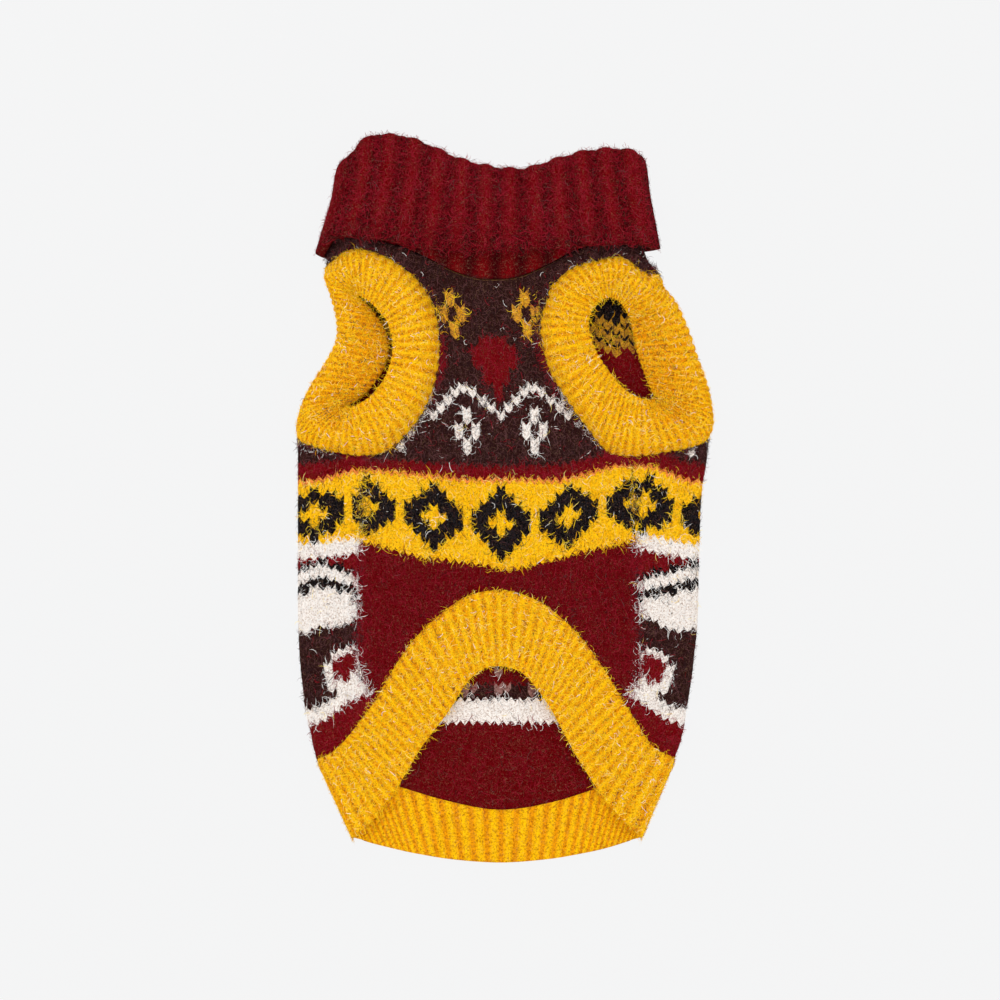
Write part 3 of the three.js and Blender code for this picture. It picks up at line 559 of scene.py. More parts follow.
def chest(chart, middle):
    """The motifs of the chest: petals and pointed hearts over a zigzag with petals under its peaks."""
    step = PEAK_STEP * STITCH
    chart.repeat(PETALS, middle + step / 2, 93.5, PEAK_STEP, {"#": CHEST_YELLOW})
    chart.repeat(HEART, middle, 66.0, PEAK_STEP, {"#": MAROON})
    from_valley = np.round((chart.columns - middle) / STITCH).astype(int) % PEAK_STEP
    foot = 40.0 + PEAK_RISE[from_valley]
    chart.band(foot, foot + COURSE, WHITE)
    chart.repeat(PETALS, middle + step / 2, 34.0, PEAK_STEP, {"#": WHITE})


# The middle of each panel's motifs, and how many stitches it is across.
BELLY_MIDDLE = -2.0
BELLY_STITCHES = 39
BACK_MIDDLE = -7.5
BACK_STITCHES = 71
# How far a slanting edge steps up or down from a stitch to the next, just under half a course.
STEP_OF_EDGE = 1.9


def belly_chart():
    chart = Chart(BELLY_MIDDLE, BELLY_STITCHES, -104.0, 136.0, DARK_MAROON)
    chart.band(17.5, 140.0, BROWN)
    chart.band(11.0, 17.5, MAROON)
    chart.band(-32.0, 11.0, YELLOW)
    chart.band(9.0, 11.0, PEACH)
    chart.repeat(LOZENGES, BELLY_MIDDLE, -10.5, 8, {"#": BLACK})
    chest(chart, BELLY_MIDDLE)
    return chart


def back_chart():
    chart = Chart(BACK_MIDDLE, BACK_STITCHES, -160.0, 136.0, MAROON)
    chart.band(17.0, 140.0, BROWN)
    chart.band(-22.5, 8.75, YELLOW)
    chart.band(6.8, 8.75, PEACH)
    chart.repeat(SMALL_LOZENGES, BACK_MIDDLE, -7.5, 8, {"#": BLACK})
    chest(chart, BACK_MIDDLE)
    chart.band(-28.4, -22.5, WHITE)
    out = np.abs(chart.columns - BACK_MIDDLE) / STITCH
    from_peak = np.abs((out - 25.5 + 8) % 16 - 8)
    crest = -32.5 - STEP_OF_EDGE * from_peak
    odd = np.arange(chart.shape[1]) % 2
    chart.band(-66.0, crest, WHITE)
    chart.band(crest, crest + ROW * (1 + odd), BLACK)
    chart.band(crest - 5.0 * ROW - ROW * odd, crest - 3.0 * ROW, BLACK)
    chart.band(-104.0, -65.0 - 0.5 * from_peak * (from_peak < 4), BROWN)
    chart.repeat(ROUNDEL, BACK_MIDDLE + 28.5 * STITCH, -91.0, 8, {"#": MAROON, "o": WHITE})
    chart.band(-110.5, -104.0, WHITE)
    return chart


def inside_chart():
    """The wrong side of the back, where the yarns that rest run across behind the stitches. Where it shows
    through the leg opening it is painted black with dulled yellow floats, as painted shade.
    """
    chart = Chart(BACK_MIDDLE, BACK_STITCHES, -160.0, 136.0, DARK_MAROON)
    chart.band(17.0, 140.0, BROWN)
    chart.band(49.0, 75.0, MAROON)
    # Painted shade: black above y 75, darker than the brown yarn, where the inside lies in the leg
    # opening's shade.
    chart.band(75.0, 140.0, BLACK)
    i = np.arange(BACK_STITCHES)
    # Yellow floats, dulled with painted shade.
    for low, high in ((76.0, 79.0), (82.0, 86.0), (88.5, 91.0)):
        wave = STEP_OF_EDGE * (i % 3)
        chart.band(low - wave, high - wave, CHEST_YELLOW_IN_SHADE)
    chart.band(-22.5, 8.75, YELLOW)
    chart.band(-66.0, -28.0, WHITE)
    chart.band(-100.0, -65.0, BROWN)
    chart.band(-92.0, -86.0 + STEP_OF_EDGE * (i % 3), DARK_MAROON)
    chart.band(-98.0 + STEP_OF_EDGE * (i % 2), np.where(i % 4 < 2, -92.0, -98.0), PINK_GREY)
    chart.band(-88.0, np.where(i % 5 == 1, -83.0, -88.0), PINK_GREY)
    chart.band(-110.5, -99.0, WHITE)
    return chart


# How the courses of the belly bend as it lies: for a course that lies at y in the middle, x and rise.
BELLY_BENDS = [
    (-75.0, [(-71.5, 0.0), (67.5, 0.0)]),
    (
        -32.0,
        [(-71.5, 11.5), (-42.5, 3.5), (-12.5, 0.0), (1.5, -3.5), (27.5, 3.0), (42.5, 7.0), (67.5, 12.0)],
    ),
    (
        11.0,
        [(-71.5, 5.0), (-39.5, 2.0), (-16.5, -0.5), (-2.5, 0.0), (27.5, -0.8), (57.5, 7.0), (70.0, 6.0)],
    ),
    (17.5, [(-62.5, 3.5), (-19.5, 0.5), (-2.5, 0.0), (27.5, 1.0), (57.5, 7.5)]),
    (45.0, [(-62.5, 0.0), (57.5, 0.0)]),
]
# How its wales lean and spread towards the neck.
LEAN_FOOT, LEAN_TOP, LEAN, SPREAD = 42.0, 93.5, -6.0, 0.1
# How far the courses of the back rise from the side folds to the side seams: y, left, right.
WRAP_RISE = [
    (-140, 14.0, 13.0),
    (-110, 14.0, 13.0),
    (-60, 5.0, 6.0),
    (-24, 2.3, 4.5),
    (8, 6.2, 8.5),
    (40, 5.0, 5.0),
]
WRAP_WIDTH = 28.0


def belly_row(x, course):
    levels = np.array([level for level, _ in BELLY_BENDS])
    rises = np.array(
        [np.interp(x, [p[0] for p in line], [p[1] for p in line]) for _, line in BELLY_BENDS]
    )
    at = np.clip(course, levels[0], levels[-1])
    k = np.clip(np.searchsorted(levels, at, side="right") - 1, 0, len(levels) - 2)
    f = (at - levels[k]) / (levels[k + 1] - levels[k])
    low = np.take_along_axis(rises, k[None], 0)[0]
    high = np.take_along_axis(rises, k[None] + 1, 0)[0]
    return course + mix(low, high, f)


def belly_lean(x, y):
    t = np.clip((y - LEAN_FOOT) / (LEAN_TOP - LEAN_FOOT), 0, 1.3)
    return BELLY_MIDDLE + (x - BELLY_MIDDLE) * (1 + SPREAD * t) + LEAN * t


def back_row(distance, course):
    left, right = tangents(course)
    arc = math.pi * body_fold(course)
    past = np.where(distance < 0, -distance + left - arc, distance - right - arc)
    ys = [row[0] for row in WRAP_RISE]
    rise = np.where(
        distance < 0,
        np.interp(course, ys, [row[1] for row in WRAP_RISE]),
        np.interp(course, ys, [row[2] for row in WRAP_RISE]),
    )
    return course + rise * smoothstep(-4.0, WRAP_WIDTH, past)


def stitch_lines(chart, dense):
    """Lines of points across a chart: place, height, slant and stitch. Fewer where not dense(place)."""
    lines = []
    count = len(LEG_PROFILE)
    for stitch in range(chart.shape[1]):
        left = chart.left + stitch * STITCH
        step = 1 if dense(left + STITCH / 2) else 3
        for k in range(0, count, step):
            height = LEG_PROFILE[k] if step == 1 else 0.0
            slant = V_DEPTH * (abs(2 * k / count - 1) - 0.5)
            lines.append((left + STITCH * k / count, height, slant, stitch))
    return lines


def panel(chart, inside, dense, place, row, lean, limits, outward):
    """A knitted panel drawn in to its edges, with its points on both faces and the colours of its cells."""
    across, height, slant, stitch = (np.array(c) for c in zip(*stitch_lines(chart, dense)))
    courses = chart.foot + ROW * np.arange(chart.shape[0] + 1)
    a, c = np.meshgrid(across, courses)
    low_y, high_y, low_a, high_a = limits
    y = row(a, c + slant)
    a = lean(a, y)
    y = np.clip(y, low_y(a), high_y(a))
    drawn = np.clip(a, low_a(y), high_a(y))
    y = np.clip(y, low_y(drawn), high_y(drawn))
    flat = np.stack([drawn, y], -1).reshape(-1, 2)
    _, first, merged = np.unique(np.round(flat, 3), axis=0, return_index=True, return_inverse=True)
    faces, cells = grid_faces(*a.shape)
    faces = merged.reshape(-1)[faces]
    places = flat[first]
    p, q, r = (places[faces[:, k]] for k in range(3))
    edge_a, edge_b = q - p, r - p
    kept = np.abs(edge_a[:, 0] * edge_b[:, 1] - edge_a[:, 1] * edge_b[:, 0]) > 2e-4
    faces, cells = faces[kept], cells[kept]
    cloth = place(places[:, 0], places[:, 1])
    normal = outward * normals_of(place, places[:, 0], places[:, 1])
    swell = np.where(np.arange(len(courses)) % 2 == 1, 0.08, -0.04)
    relief = (height[None, :] + swell[:, None] * (height != 0)[None, :]).reshape(-1)[first]
    rows = np.minimum(cells[:, 0], chart.shape[0] - 1)
    stitches = stitch[cells[:, 1]].astype(int)
    outer = cloth + normal * (HALF_CLOTH + relief)[:, None]
    outer[:, 2] = np.maximum(outer[:, 2], YARN_REST)
    return {
        "outer": outer,
        "inner": cloth - normal * (HALF_CLOTH - PANEL_INSET),
        "outward": normal,
        "faces": faces,
        "colours": chart.cells[rows, stitches],
        "inside": inside.cells[rows, stitches],
        "flip": outward < 0,
    }


def belly_panel():
    def place(x, y):
        return np.stack([x, y, belly_z(x, y)], -1)

    def left(y):
        return belly_x(LEG_LEFT.limit(y, True), y, -1) + SEAM_GAP

    def right(y):
        return belly_x(LEG_RIGHT.limit(y, True), y, 1) - SEAM_GAP

    chart = belly_chart()
    limits = (belly_hem_y, neck_belly, left, right)
    return panel(chart, chart, lambda x: True, place, belly_row, belly_lean, limits, 1)


def back_panel():
    wrapped = np.linspace(0, 1, 60)

    def wrap_line(seam_x, fold_x):
        x = mix(seam_x, fold_x, wrapped)
        y = belly_hem_y(x)
        return wrap_distance(x, y), y

    d_left, y_left = wrap_line(SIDE_SEAM[0][1], BELLY_HEM[0][0])
    d_right, y_right = wrap_line(BELLY_HEM[-1][0], SIDE_SEAM[0][2])
    d_back = np.linspace(BACK_HEM[0][0], BACK_HEM[-1][0], 200)
    hem_d = np.concatenate([d_left, d_back, d_right])
    hem_y = np.concatenate([y_left, back_hem_y(d_back), y_right])
    order = np.argsort(hem_d)

    def low_y(d):
        return np.interp(d, hem_d[order], hem_y[order])

    def high_y(d):
        at = np.full_like(d, NECK_SEAM[0][2])
        p = body_point(d, at)
        over = (p[..., 2] - HALF_CLOTH - body_lift(at)) / (2 * body_fold(at))
        return mix(neck_back(p[..., 0]), neck_belly(p[..., 0]), np.clip(over, 0, 1))

    def low_d(y):
        return LEG_LEFT.limit(y, False)

    def high_d(y):
        return LEG_RIGHT.limit(y, False)

    left, right = tangents(0.0)
    limits = (low_y, high_y, low_d, high_d)

    def dense(d):
        return not left + 6 < d < right - 6

    def upright(d, y):
        return d

    return panel(
        back_chart(), inside_chart(), dense, body_point, back_row, upright, limits, -1
    )


# ---------------------------------------------------------------- ribs
def band(mid, ribs, per_rib, rows, profile, colour, ring, up_at=(0.5, 0.5)):
    """A ribbed band about a middle surface mid(u, v), its yarn standing out by profile(u, v). Its outer
    face is the one that faces up at up_at."""
    count = ribs * per_rib
    u = np.arange(count if ring else count + 1) / count
    v = np.linspace(0, 1, rows + 1)
    uu, vv = np.meshgrid(u, v)
    cloth = mid(uu, vv)
    step = 1e-3
    across = mid(uu + step, vv) - mid(uu - step, vv)
    along = mid(uu, np.minimum(vv + step, 1)) - mid(uu, np.maximum(vv - step, 0))
    normal = np.cross(across, along)
    normal /= np.linalg.norm(normal, axis=-1, keepdims=True)
    i, j = int(up_at[0] * len(u)), int(up_at[1] * rows)
    sign = 1 if normal[j, i, 2] > 0 else -1
    normal = normal * sign
    outer = cloth + normal * (RIB_CLOTH / 2 + profile(uu, vv))[..., None]
    inner = cloth - normal * (RIB_CLOTH / 2 - BAND_INSET)
    outer[..., 2] = np.maximum(outer[..., 2], YARN_REST)
    inner[..., 2] = np.maximum(inner[..., 2], YARN_REST)
    faces, cells = grid_faces(*uu.shape, ring=ring)
    colours = colour((cells[:, 1] + 0.5) / count, (cells[:, 0] + 0.5) / rows)
    return {
        "outer": outer.reshape(-1, 3),
        "inner": inner.reshape(-1, 3),
        "outward": normal.reshape(-1, 3),
        "faces": faces,
        "colours": colours,
        "inside": colours,
        "flip": sign < 0,
    }


def cuff_surface(leg):
    """The cuff's middle surface: out of the seam with the cloth, up over a crest and down to its lip."""
    count = len(leg.sections)
    centre = leg.seam(np.arange(count) / count).mean(axis=0)
    crests = [row[2] for row in leg.sections]
    lips = [row[3] for row in leg.sections]
    bulges = [(row[4],) for row in leg.sections]

    def mid(u, v):
        seam = leg.seam(u)
        before, after = leg.seam(u - 1e-3), leg.seam(u + 1e-3)
        turned = np.stack([before[..., 1] - after[..., 1], after[..., 0] - before[..., 0]], -1)
        turned *= np.sign((turned * (centre - seam)).sum(-1))[..., None]
        d, y = seam[..., 0], seam[..., 1]
        here = body_point(d, y)
        along = (body_point(d + 1e-3, y) - here) / 1e-3
        up = (body_point(d, y + 1e-3) - here) / 1e-3
        e, f, g = (along * along).sum(-1), (along * up).sum(-1), (up * up).sum(-1)
        square = np.stack(
            [g * turned[..., 0] - f * turned[..., 1], e * turned[..., 1] - f * turned[..., 0]], -1
        )
        length = np.sqrt(
            e * square[..., 0] ** 2 + 2 * f * square[..., 0] * square[..., 1] + g * square[..., 1] ** 2
        )
        into = square / length[..., None]

        def cloth(reach):
            return body_point(d + reach * into[..., 0], y + reach * into[..., 1])

        start, lead = cloth(CUFF_START), cloth(CUFF_START + CUFF_LEAD)
        crest = spline(crests, u, closed=True)
        lip = spline(lips, u, closed=True)
        bulge = spline(bulges, u, closed=True)
        out = crest[..., :2] - lip[..., :2]
        out = out / np.linalg.norm(out, axis=-1, keepdims=True) * bulge
        side = mix(lead, crest, 0.5)
        side[..., :2] += out
        slope = mix(crest, lip, 0.5)
        slope[..., 2] += 0.8
        profile = np.stack([start, lead, side, crest, slope, lip])
        place = np.clip(v, 0, 1) * 5
        i = np.minimum(place.astype(int), 4)
        fr = (place - i)[..., None]

        def pick(k):
            k = np.clip(k, 0, 5)
            where = np.broadcast_to(k[None, ..., None], (1,) + profile.shape[1:])
            return np.take_along_axis(profile, where, 0)[0]

        before_it, here_it, next_it, after_it = pick(i - 1), pick(i), pick(i + 1), pick(i + 2)
        return bent(before_it, here_it, next_it, after_it, fr)

    return mid


def hem_surface(table, place):
    """A hem band's middle surface, its ribs running from the seam to the free edge."""
    seam_y = curve(table, 1)
    ends = [(row[0], row[2], row[3]) for row in table]

    def mid(u, v):
        at = spline(ends, u)
        shift = 1.0 * (0.5 - u)
        seam_x, edge_x, edge_y = at[..., 0] + shift, at[..., 1] + shift, at[..., 2]
        y = seam_y(seam_x)
        start = HEM_START / np.hypot(edge_x - seam_x, edge_y - y)
        t = mix(start, 1, v)
        return place(mix(seam_x, edge_x, t), mix(y, edge_y, t))

    return mid


def collar_surface():
    """The collar's middle surface: up from the neck seam, over its top fold and down outside."""
    collar_top, collar_belly, collar_back = (curve(COLLAR_EDGES, k) for k in (1, 2, 3))
    inner_half = LAYER_PITCH / 2

    def mid(u, v):
        ring = spline(COLLAR_RINGS, v)
        rise, spread, left, right = (ring[..., k] for k in range(4))
        flat = 0.5 - COLLAR_FOLD_SHARE
        t = u % 1
        half = np.where(t < 0.5, 1.0, -1.0)
        place = np.where(t < 0.5, t, t - 0.5)
        across = np.where(place < flat, half * (2 * (place / flat) - 1), half)
        turn = np.where(place < flat, 0, math.pi * (place - flat) / COLLAR_FOLD_SHARE)
        radius = mix(inner_half, COLLAR_OUTER_HALF, spread)
        straight = (right - left) / 2 - radius
        x = (left + right) / 2 + across * straight + half * radius * np.sin(turn)
        over = (1 + half * np.cos(turn)) / 2
        inner = mix(neck_back(x), neck_belly(x), over) + COLLAR_START
        outer = mix(collar_back(x), collar_belly(x), over)
        y = mix(mix(inner, outer, smoothstep(0.3, 0.7, spread)), collar_top(x), rise)
        centre = HALF_CLOTH + body_lift(y) + inner_half
        z = mix(centre, COLLAR_CENTRE_Z, spread) + half * radius * np.cos(turn)
        return np.stack([x, y, z], -1)

    return mid


# ---------------------------------------------------------------- yarn
# The texture of the yarn, to a metre: its tufts, and the curled fibres on it, thin lines lighter than it.
TUFT_SCALE = 1100
CURL_SCALE = 420
CURL_SHARPNESS = 38.0
FIBRE_SHARE = 0.75


def yarn_material(name):
    """Brushed yarn, its colour from the mesh, mottled, with curled fibres lying over it."""
    material = bpy.data.materials.new(name)
    material.use_nodes = True
    nodes, links = material.node_tree.nodes, material.node_tree.links
    shader = nodes["Principled BSDF"]
    shader.inputs["Roughness"].default_value = 0.92
    shader.inputs["Specular IOR Level"].default_value = 0.02
    colour = nodes.new("ShaderNodeAttribute")
    colour.attribute_name = "yarn"
    place = nodes.new("ShaderNodeTexCoord")

    def noise(scale, detail, distortion):
        node = nodes.new("ShaderNodeTexNoise")
        node.inputs["Scale"].default_value = scale
        node.inputs["Detail"].default_value = detail
        node.inputs["Roughness"].default_value = 0.65
        node.inputs["Distortion"].default_value = distortion
        links.new(place.outputs["Object"], node.inputs["Vector"])
        return node.outputs["Fac"]

    def math_node(operation, a, b, clamp=False):
        node = nodes.new("ShaderNodeMath")
        node.operation = operation
        node.use_clamp = clamp
        for socket, value in zip(node.inputs, (a, b)):
            if isinstance(value, (int, float)):
                socket.default_value = value
            else:
                links.new(value, socket)
        return node.outputs["Value"]

    def mixed(blend, factor, a, b):
        node = nodes.new("ShaderNodeMix")
        node.data_type = "RGBA"
        node.blend_type = blend
        for key, value in (("Factor", factor), ("A", a), ("B", b)):
            socket = node.inputs[key] if key == "Factor" else next(
                s for s in node.inputs if s.name == key and s.type == "RGBA"
            )
            if isinstance(value, (int, float, tuple)):
                socket.default_value = value
            else:
                links.new(value, socket)
        return next(s for s in node.outputs if s.type == "RGBA")

    tufts = noise(TUFT_SCALE, 3, 0.4)
    ramp = nodes.new("ShaderNodeValToRGB")
    ramp.color_ramp.elements[0].position = 0.33
    ramp.color_ramp.elements[0].color = (0.50, 0.36, 0.28, 1)
    ramp.color_ramp.elements[1].position = 0.68
    ramp.color_ramp.elements[1].color = (1.25, 1.22, 1.2, 1)
    middle = ramp.color_ramp.elements.new(0.5)
    middle.color = (0.98, 0.94, 0.9, 1)
    links.new(tufts, ramp.inputs["Fac"])
    mottled = mixed("MULTIPLY", 1.0, colour.outputs["Color"], ramp.outputs["Color"])
    curls = math_node("ABSOLUTE", math_node("SUBTRACT", noise(CURL_SCALE, 1, 1.5), 0.5), 0)
    fibres = math_node("SUBTRACT", 1.0, math_node("MULTIPLY", curls, CURL_SHARPNESS), clamp=True)
    lighter = mixed("SCREEN", 1.0, mottled, (0.15, 0.085, 0.05, 1))
    share = math_node("MULTIPLY", fibres, FIBRE_SHARE)
    links.new(mixed("MIX", share, mottled, lighter), shader.inputs["Base Color"])
    height = math_node("ADD", tufts, math_node("MULTIPLY", fibres, 0.3))
    bump = nodes.new("ShaderNodeBump")
    bump.inputs["Strength"].default_value = 0.75
    bump.inputs["Distance"].default_value = 0.0006
    links.new(height, bump.inputs["Height"])
    links.new(bump.outputs["Normal"], shader.inputs["Normal"])
    return material


def fibre_material(name, colour):
    material = bpy.data.materials.new(name)
    material.use_nodes = True
    shader = material.node_tree.nodes["Principled BSDF"]
    shader.inputs["Base Color"].default_value = (*linear(colour), 1)
    shader.inputs["Roughness"].default_value = 0.8
    shader.inputs["Specular IOR Level"].default_value = 0.02
    return material


yarn = yarn_material("brushed_yarn")
# The yarns, and the colours of their loose fibres.
YARNS = np.array(
    [
        MAROON,
        DARK_MAROON,
        YELLOW,
        CHEST_YELLOW,
        CHEST_YELLOW_IN_SHADE,
        PEACH,
        BROWN,
        BLACK,
        WHITE,
        PINK_GREY,
    ],
    float,
)
FIBRES = [
    fibre_material("fibre_maroon", (148, 30, 44)),
    fibre_material("fibre_deep_maroon", (122, 12, 24)),
    fibre_material("fibre_yellow", (255, 214, 40)),
    fibre_material("fibre_amber", (240, 172, 12)),
    fibre_material("fibre_brown", (96, 60, 60)),
    fibre_material("fibre_dark", (52, 30, 32)),
    fibre_material("fibre_black", (40, 37, 41)),
    fibre_material("fibre_white", (250, 246, 242)),
    fibre_material("fibre_cream", (255, 228, 128)),
]
# For each yarn, the shares of those fibres that stand off it.
FIBRE_SHARES = np.array(
    [
        [0.47, 0.52, 0, 0, 0.01, 0, 0, 0, 0],
        [0.25, 0.70, 0, 0, 0.03, 0.02, 0, 0, 0],
        [0, 0, 0.52, 0.34, 0, 0, 0, 0.02, 0.12],
        [0, 0, 0.45, 0.30, 0.15, 0.05, 0, 0, 0.05],
        [0, 0, 0.30, 0.40, 0.15, 0.15, 0, 0, 0],
        [0.1, 0, 0.35, 0.30, 0, 0, 0, 0, 0.25],
        [0.03, 0.02, 0, 0, 0.40, 0.54, 0, 0.01, 0],
        [0, 0, 0, 0, 0.02, 0.25, 0.72, 0.01, 0],
        [0, 0, 0, 0, 0, 0, 0.01, 0.97, 0.02],
        [0.1, 0.1, 0, 0, 0.3, 0.2, 0, 0.3, 0],
    ]
)
# A loose fibre: its parts, half its width, its length as a share of the reach, how far it bends from one
# part to the next in radians, and how steeply it stands off the cloth.
FIBRE_SEGMENTS = 3
FIBRE_HALF_WIDTH = 0.09
FIBRE_LENGTHS = (0.45, 1.3)
FIBRE_WIDTHS = (0.7, 1.3)
FIBRE_BEND = 1.0
FIBRE_LIFTS = (0.02, 0.32)
FIBRE_DROOP = 0.55
FIBRE_ROOT = 0.05
# Fibres stay off faces that turn further down than this.
FIBRE_LOWEST_FACE = -0.2


def knit_piece(name, node, piece):
    """A piece of cloth with yarn on both faces, in place of its solid."""
    obj = thick(
        name,
        piece["outer"],
        piece["inner"],
        piece["faces"],
        linear(piece["colours"]),
        linear(piece["inside"]),
        piece["flip"],
    )
    obj.data.materials.append(yarn)
    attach(obj, "root")
    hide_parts(node)
    return obj


def fibre_strips(rng, root, normal, reach):
    """The points of curled ribbons that grow from root, two at each joint and one at the tip."""
    count = len(root)
    level = np.cross(normal, rng.normal(size=(count, 3)))
    level /= np.linalg.norm(level, axis=1, keepdims=True)
    aside = np.cross(normal, level)
    length = reach * rng.uniform(*FIBRE_LENGTHS, count)
    bend = rng.normal(0, FIBRE_BEND, count)
    lift = rng.uniform(*FIBRE_LIFTS, count) ** 1.2
    line = [root - FIBRE_ROOT * normal]
    ways = []
    for k in range(FIBRE_SEGMENTS):
        turn = bend * k
        rise = lift * (1.0 - FIBRE_DROOP * k)
        way = np.cos(turn)[:, None] * level + np.sin(turn)[:, None] * aside + rise[:, None] * normal
        ways.append(way)
        line.append(line[-1] + way * (length / FIBRE_SEGMENTS)[:, None])
    half = FIBRE_HALF_WIDTH * rng.uniform(*FIBRE_WIDTHS, count)[:, None]
    strip = []
    for k in range(FIBRE_SEGMENTS):
        across = np.cross(ways[k], normal)
        across /= np.linalg.norm(across, axis=1, keepdims=True)
        strip += [line[k] - across * half, line[k] + across * half]
    strip.append(line[-1])
    points = np.stack(strip, axis=1)
    points[..., 2] = np.maximum(points[..., 2], FIBRE_REST)
    return points


def fibre_faces(count):
    """The triangles of count ribbons, and how many each has."""
    tip = 2 * FIBRE_SEGMENTS
    pattern = []
    for k in range(FIBRE_SEGMENTS - 1):
        pattern += [(2 * k, 2 * k + 1, 2 * k + 3), (2 * k, 2 * k + 3, 2 * k + 2)]
    pattern.append((tip - 2, tip - 1, tip))
    first = (np.arange(count) * (tip + 1))[:, None, None]
    return (first + np.array(pattern)[None]).reshape(-1, 3), len(pattern)


def fuzz(name, piece, count, seed, keep=None, reach=5.0, side="outer"):
    """Fine curled fibres over one face of a piece, only where keep(places) allows them."""
    rng = np.random.default_rng(seed)
    corners = piece[side][piece["faces"]]
    edge_a, edge_b = corners[:, 1] - corners[:, 0], corners[:, 2] - corners[:, 0]
    weight = np.linalg.norm(np.cross(edge_a, edge_b), axis=1)
    out = piece["outward"][piece["faces"]].mean(axis=1) * (1 if side == "outer" else -1)
    out /= np.linalg.norm(out, axis=1, keepdims=True)
    weight = weight * (out[:, 2] > FIBRE_LOWEST_FACE)
    if keep is not None:
        weight = weight * keep(corners.mean(axis=1))
    chosen = rng.choice(len(corners), count, p=weight / weight.sum())
    share = rng.random((count, 2))
    share = np.where(share.sum(axis=1, keepdims=True) > 1, 1 - share, share)
    root = corners[chosen, 0] + share[:, :1] * edge_a[chosen] + share[:, 1:] * edge_b[chosen]
    points = fibre_strips(rng, root, out[chosen], reach)
    faces, faces_each = fibre_faces(count)
    obj = new_mesh(name, points.reshape(-1, 3), faces)
    colours = piece["colours" if side == "outer" else "inside"][chosen]
    of_yarn = np.abs(YARNS[None] - colours[:, None]).sum(-1).argmin(1)
    limit = np.cumsum(FIBRE_SHARES, axis=1)[of_yarn]
    kind = (rng.random(count)[:, None] > limit).sum(axis=1).clip(0, len(FIBRES) - 1)
    for material in FIBRES:
        obj.data.materials.append(material)
    index = np.repeat(kind, faces_each).astype(np.int32)
    obj.data.polygons.foreach_set("material_index", index)
    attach(obj, "root")
    return obj


def rib_profile(ribs, height, start=0.0, full=0.2):
    """How far ribs stand out: rounded, rising from v = start to their full height at v = full."""

    def profile(u, v):
        wave = 0.5 - 0.5 * np.cos(2 * math.pi * u * ribs)
        return height * wave**0.6 * smoothstep(start, full, v)

    return profile


def rib_colours(ribs, crest, valley, shade=lambda u, v: 0):
    """The colour of a ribbed band: painted shade darkens its valleys, and darkens it more where shade(u, v)
    says so.
    """

    def colour(u, v):
        wave = (0.5 - 0.5 * np.cos(2 * math.pi * u * ribs)) ** 0.7
        # Painted shade, darkest in the rib valleys.
        shade_share = np.clip(1 - wave + shade(u, v), 0, 1)[:, None]
        return mix(np.array(crest, float), np.array(valley, float), shade_share)

    return colour


def lateral_shade(u, v):
    """The cuff's outer side, from u 0.5 to 1, lies in the shade of its crest."""
    return 0.55 * smoothstep(0.5, 0.6, u) * smoothstep(1.0, 0.9, u) * smoothstep(0.5, 0.8, v)


def collar_shade(u, v):
    return 0.5 * smoothstep(0.86, 1.0, v)


belly = belly_panel()
back = back_panel()
collar = band(
    collar_surface(),
    ribs=COLLAR_RIBS,
    per_rib=12,
    rows=56,
    profile=rib_profile(COLLAR_RIBS, COLLAR_RIB_RISE, 0.35, 0.6),
    colour=rib_colours(COLLAR_RIBS, MAROON, MAROON_IN_SHADE, collar_shade),
    ring=True,
    up_at=(0.22, 0.9),
)


def cuff(leg):
    return band(
        cuff_surface(leg),
        ribs=CUFF_RIBS,
        per_rib=6,
        rows=28,
        profile=rib_profile(CUFF_RIBS, CUFF_RIB_RISE, 0.0, 0.3),
        colour=rib_colours(CUFF_RIBS, YELLOW, YELLOW_IN_SHADE, lateral_shade),
        ring=True,
        up_at=(0.25, 0.6),
    )


def hem(table, place, ribs, rise, rows):
    return band(
        hem_surface(table, place),
        ribs=ribs,
        per_rib=6,
        rows=rows,
        profile=rib_profile(ribs, rise, 0.0, 0.1),
        colour=rib_colours(ribs, YELLOW, YELLOW_IN_SHADE),
        ring=False,
    )


left_cuff, right_cuff = cuff(LEG_LEFT), cuff(LEG_RIGHT)
belly_hem = hem(BELLY_HEM, belly_point, HEM_RIBS, HEM_RIB_RISE, 26)
back_hem = hem(BACK_HEM, body_point, BACK_HEM_RIBS, BACK_HEM_RIB_RISE, 20)

pieces = {
    "belly": knit_piece("belly_knit", "belly_panel", belly),
    "back": knit_piece("back_knit", "back_panel", back),
    "collar": knit_piece("collar_rib", "collar", collar),
    "cuff_left": knit_piece("cuff_left_rib", "cuff_left", left_cuff),
    "cuff_right": knit_piece("cuff_right_rib", "cuff_right", right_cuff),
    "belly_hem": knit_piece("belly_hem_rib", "belly_hem", belly_hem),
    "back_hem": knit_piece("back_hem_rib", "back_hem", back_hem),
}


def through_openings(at):
    """Which places of the back's inside show through the arch or the right leg opening."""
    return (at[:, 1] < -80) | ((at[:, 1] > 45) & (at[:, 0] > 30) & (at[:, 0] < 85))


fuzz("belly_fuzz", belly, 26000, 11)
fuzz("back_fuzz", back, 14000, 12, keep=lambda at: at[:, 2] > 4.0)
fuzz("inside_fuzz", back, 8000, 13, keep=through_openings, side="inner")
fuzz("collar_fuzz", collar, 20000, 14, keep=lambda at: at[:, 2] > 5.0)
fuzz("cuff_left_fuzz", left_cuff, 11000, 15, reach=4.0)
fuzz("cuff_right_fuzz", right_cuff, 11000, 16, reach=4.0)
fuzz("belly_hem_fuzz", belly_hem, 13000, 17, reach=4.0)
fuzz("back_hem_fuzz", back_hem, 5000, 18, reach=4.0, side="inner")

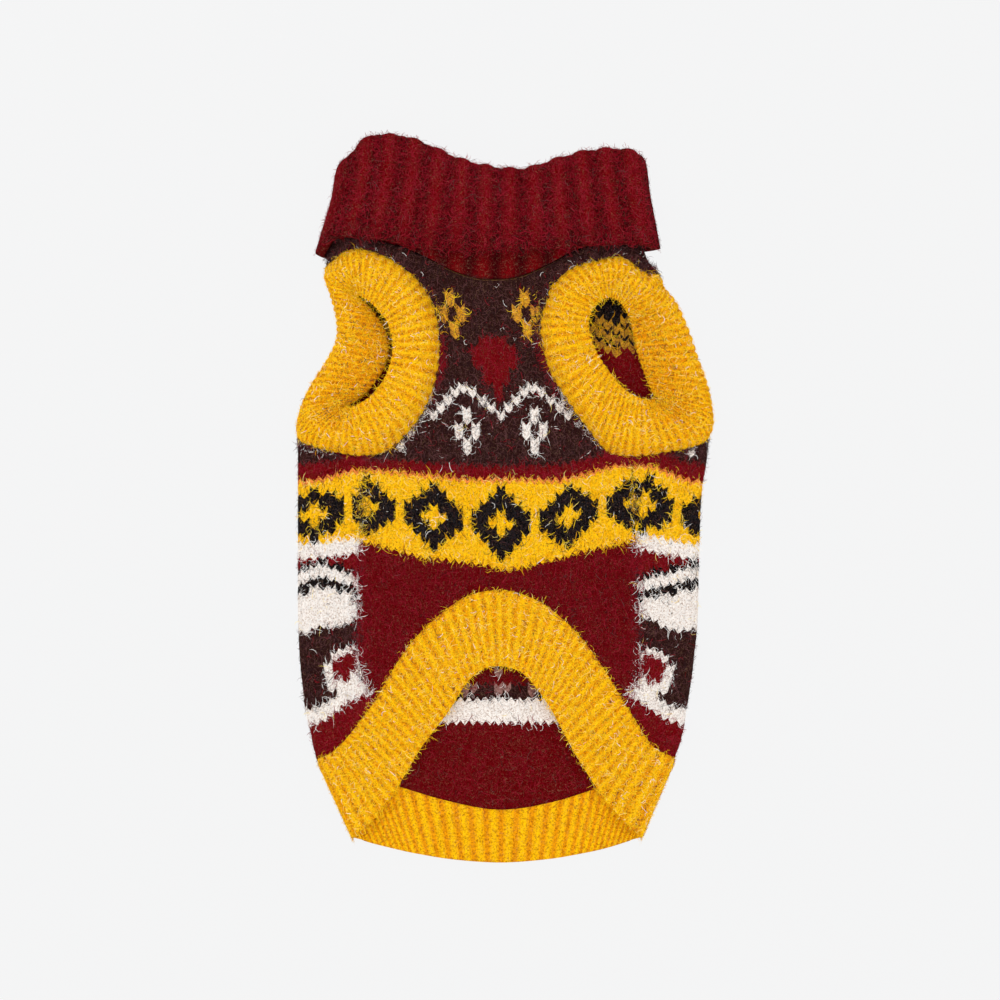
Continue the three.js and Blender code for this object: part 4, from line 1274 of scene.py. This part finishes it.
# ---------------------------------------------------------------- stage
CAMERA_HEIGHT = 2.0
PICTURE_WIDTH = 0.5
SENSOR = 36.0
MIDDLE = (-0.00272, -0.00054)


def plane(name, size, z, colour):
    """A backdrop lit evenly from below, like a light table."""
    bpy.ops.mesh.primitive_plane_add(size=size, location=(0, 0, z))
    obj = bpy.context.object
    obj.name = name
    material = bpy.data.materials.new(name)
    material.use_nodes = True
    shader = material.node_tree.nodes["Principled BSDF"]
    shader.inputs["Base Color"].default_value = (0.02, 0.02, 0.02, 1)
    shader.inputs["Roughness"].default_value = 1.0
    shader.inputs["Specular IOR Level"].default_value = 0.0
    shader.inputs["Emission Color"].default_value = (*colour, 1)
    shader.inputs["Emission Strength"].default_value = 1.0
    obj.data.materials.append(material)
    return obj


floor = plane("floor", 6, 0, (0.885, 0.887, 0.89))

world = bpy.data.worlds.new("studio")
bpy.context.scene.world = world
world.use_nodes = True
world.node_tree.nodes["Background"].inputs["Color"].default_value = (1, 1, 1, 1)
world.node_tree.nodes["Background"].inputs["Strength"].default_value = WORLD_LIGHT


def soft_box(name, place, aim, size, power):
    data = bpy.data.lights.new(name, "AREA")
    data.size = size
    data.energy = power
    obj = bpy.data.objects.new(name, data)
    obj.location = place
    direction = np.subtract(aim, place)
    obj.rotation_euler = (
        math.acos(-direction[2] / np.linalg.norm(direction)),
        0,
        math.atan2(direction[0], -direction[1]),
    )
    bpy.context.scene.collection.objects.link(obj)
    return obj


key = soft_box("key", (-0.7, 1.0, 1.4), (0, 0, 0), 0.7, KEY_LIGHT)
camera_data = bpy.data.cameras.new("camera")
camera_data.sensor_width = SENSOR
camera_data.lens = SENSOR * CAMERA_HEIGHT / PICTURE_WIDTH
camera_data.clip_end = 10
camera = bpy.data.objects.new("camera", camera_data)
camera.location = (*MIDDLE, CAMERA_HEIGHT)
bpy.context.scene.collection.objects.link(camera)
bpy.context.scene.camera = camera
bpy.context.scene.view_settings.view_transform = "Standard"
bpy.context.scene.view_settings.look = "None"
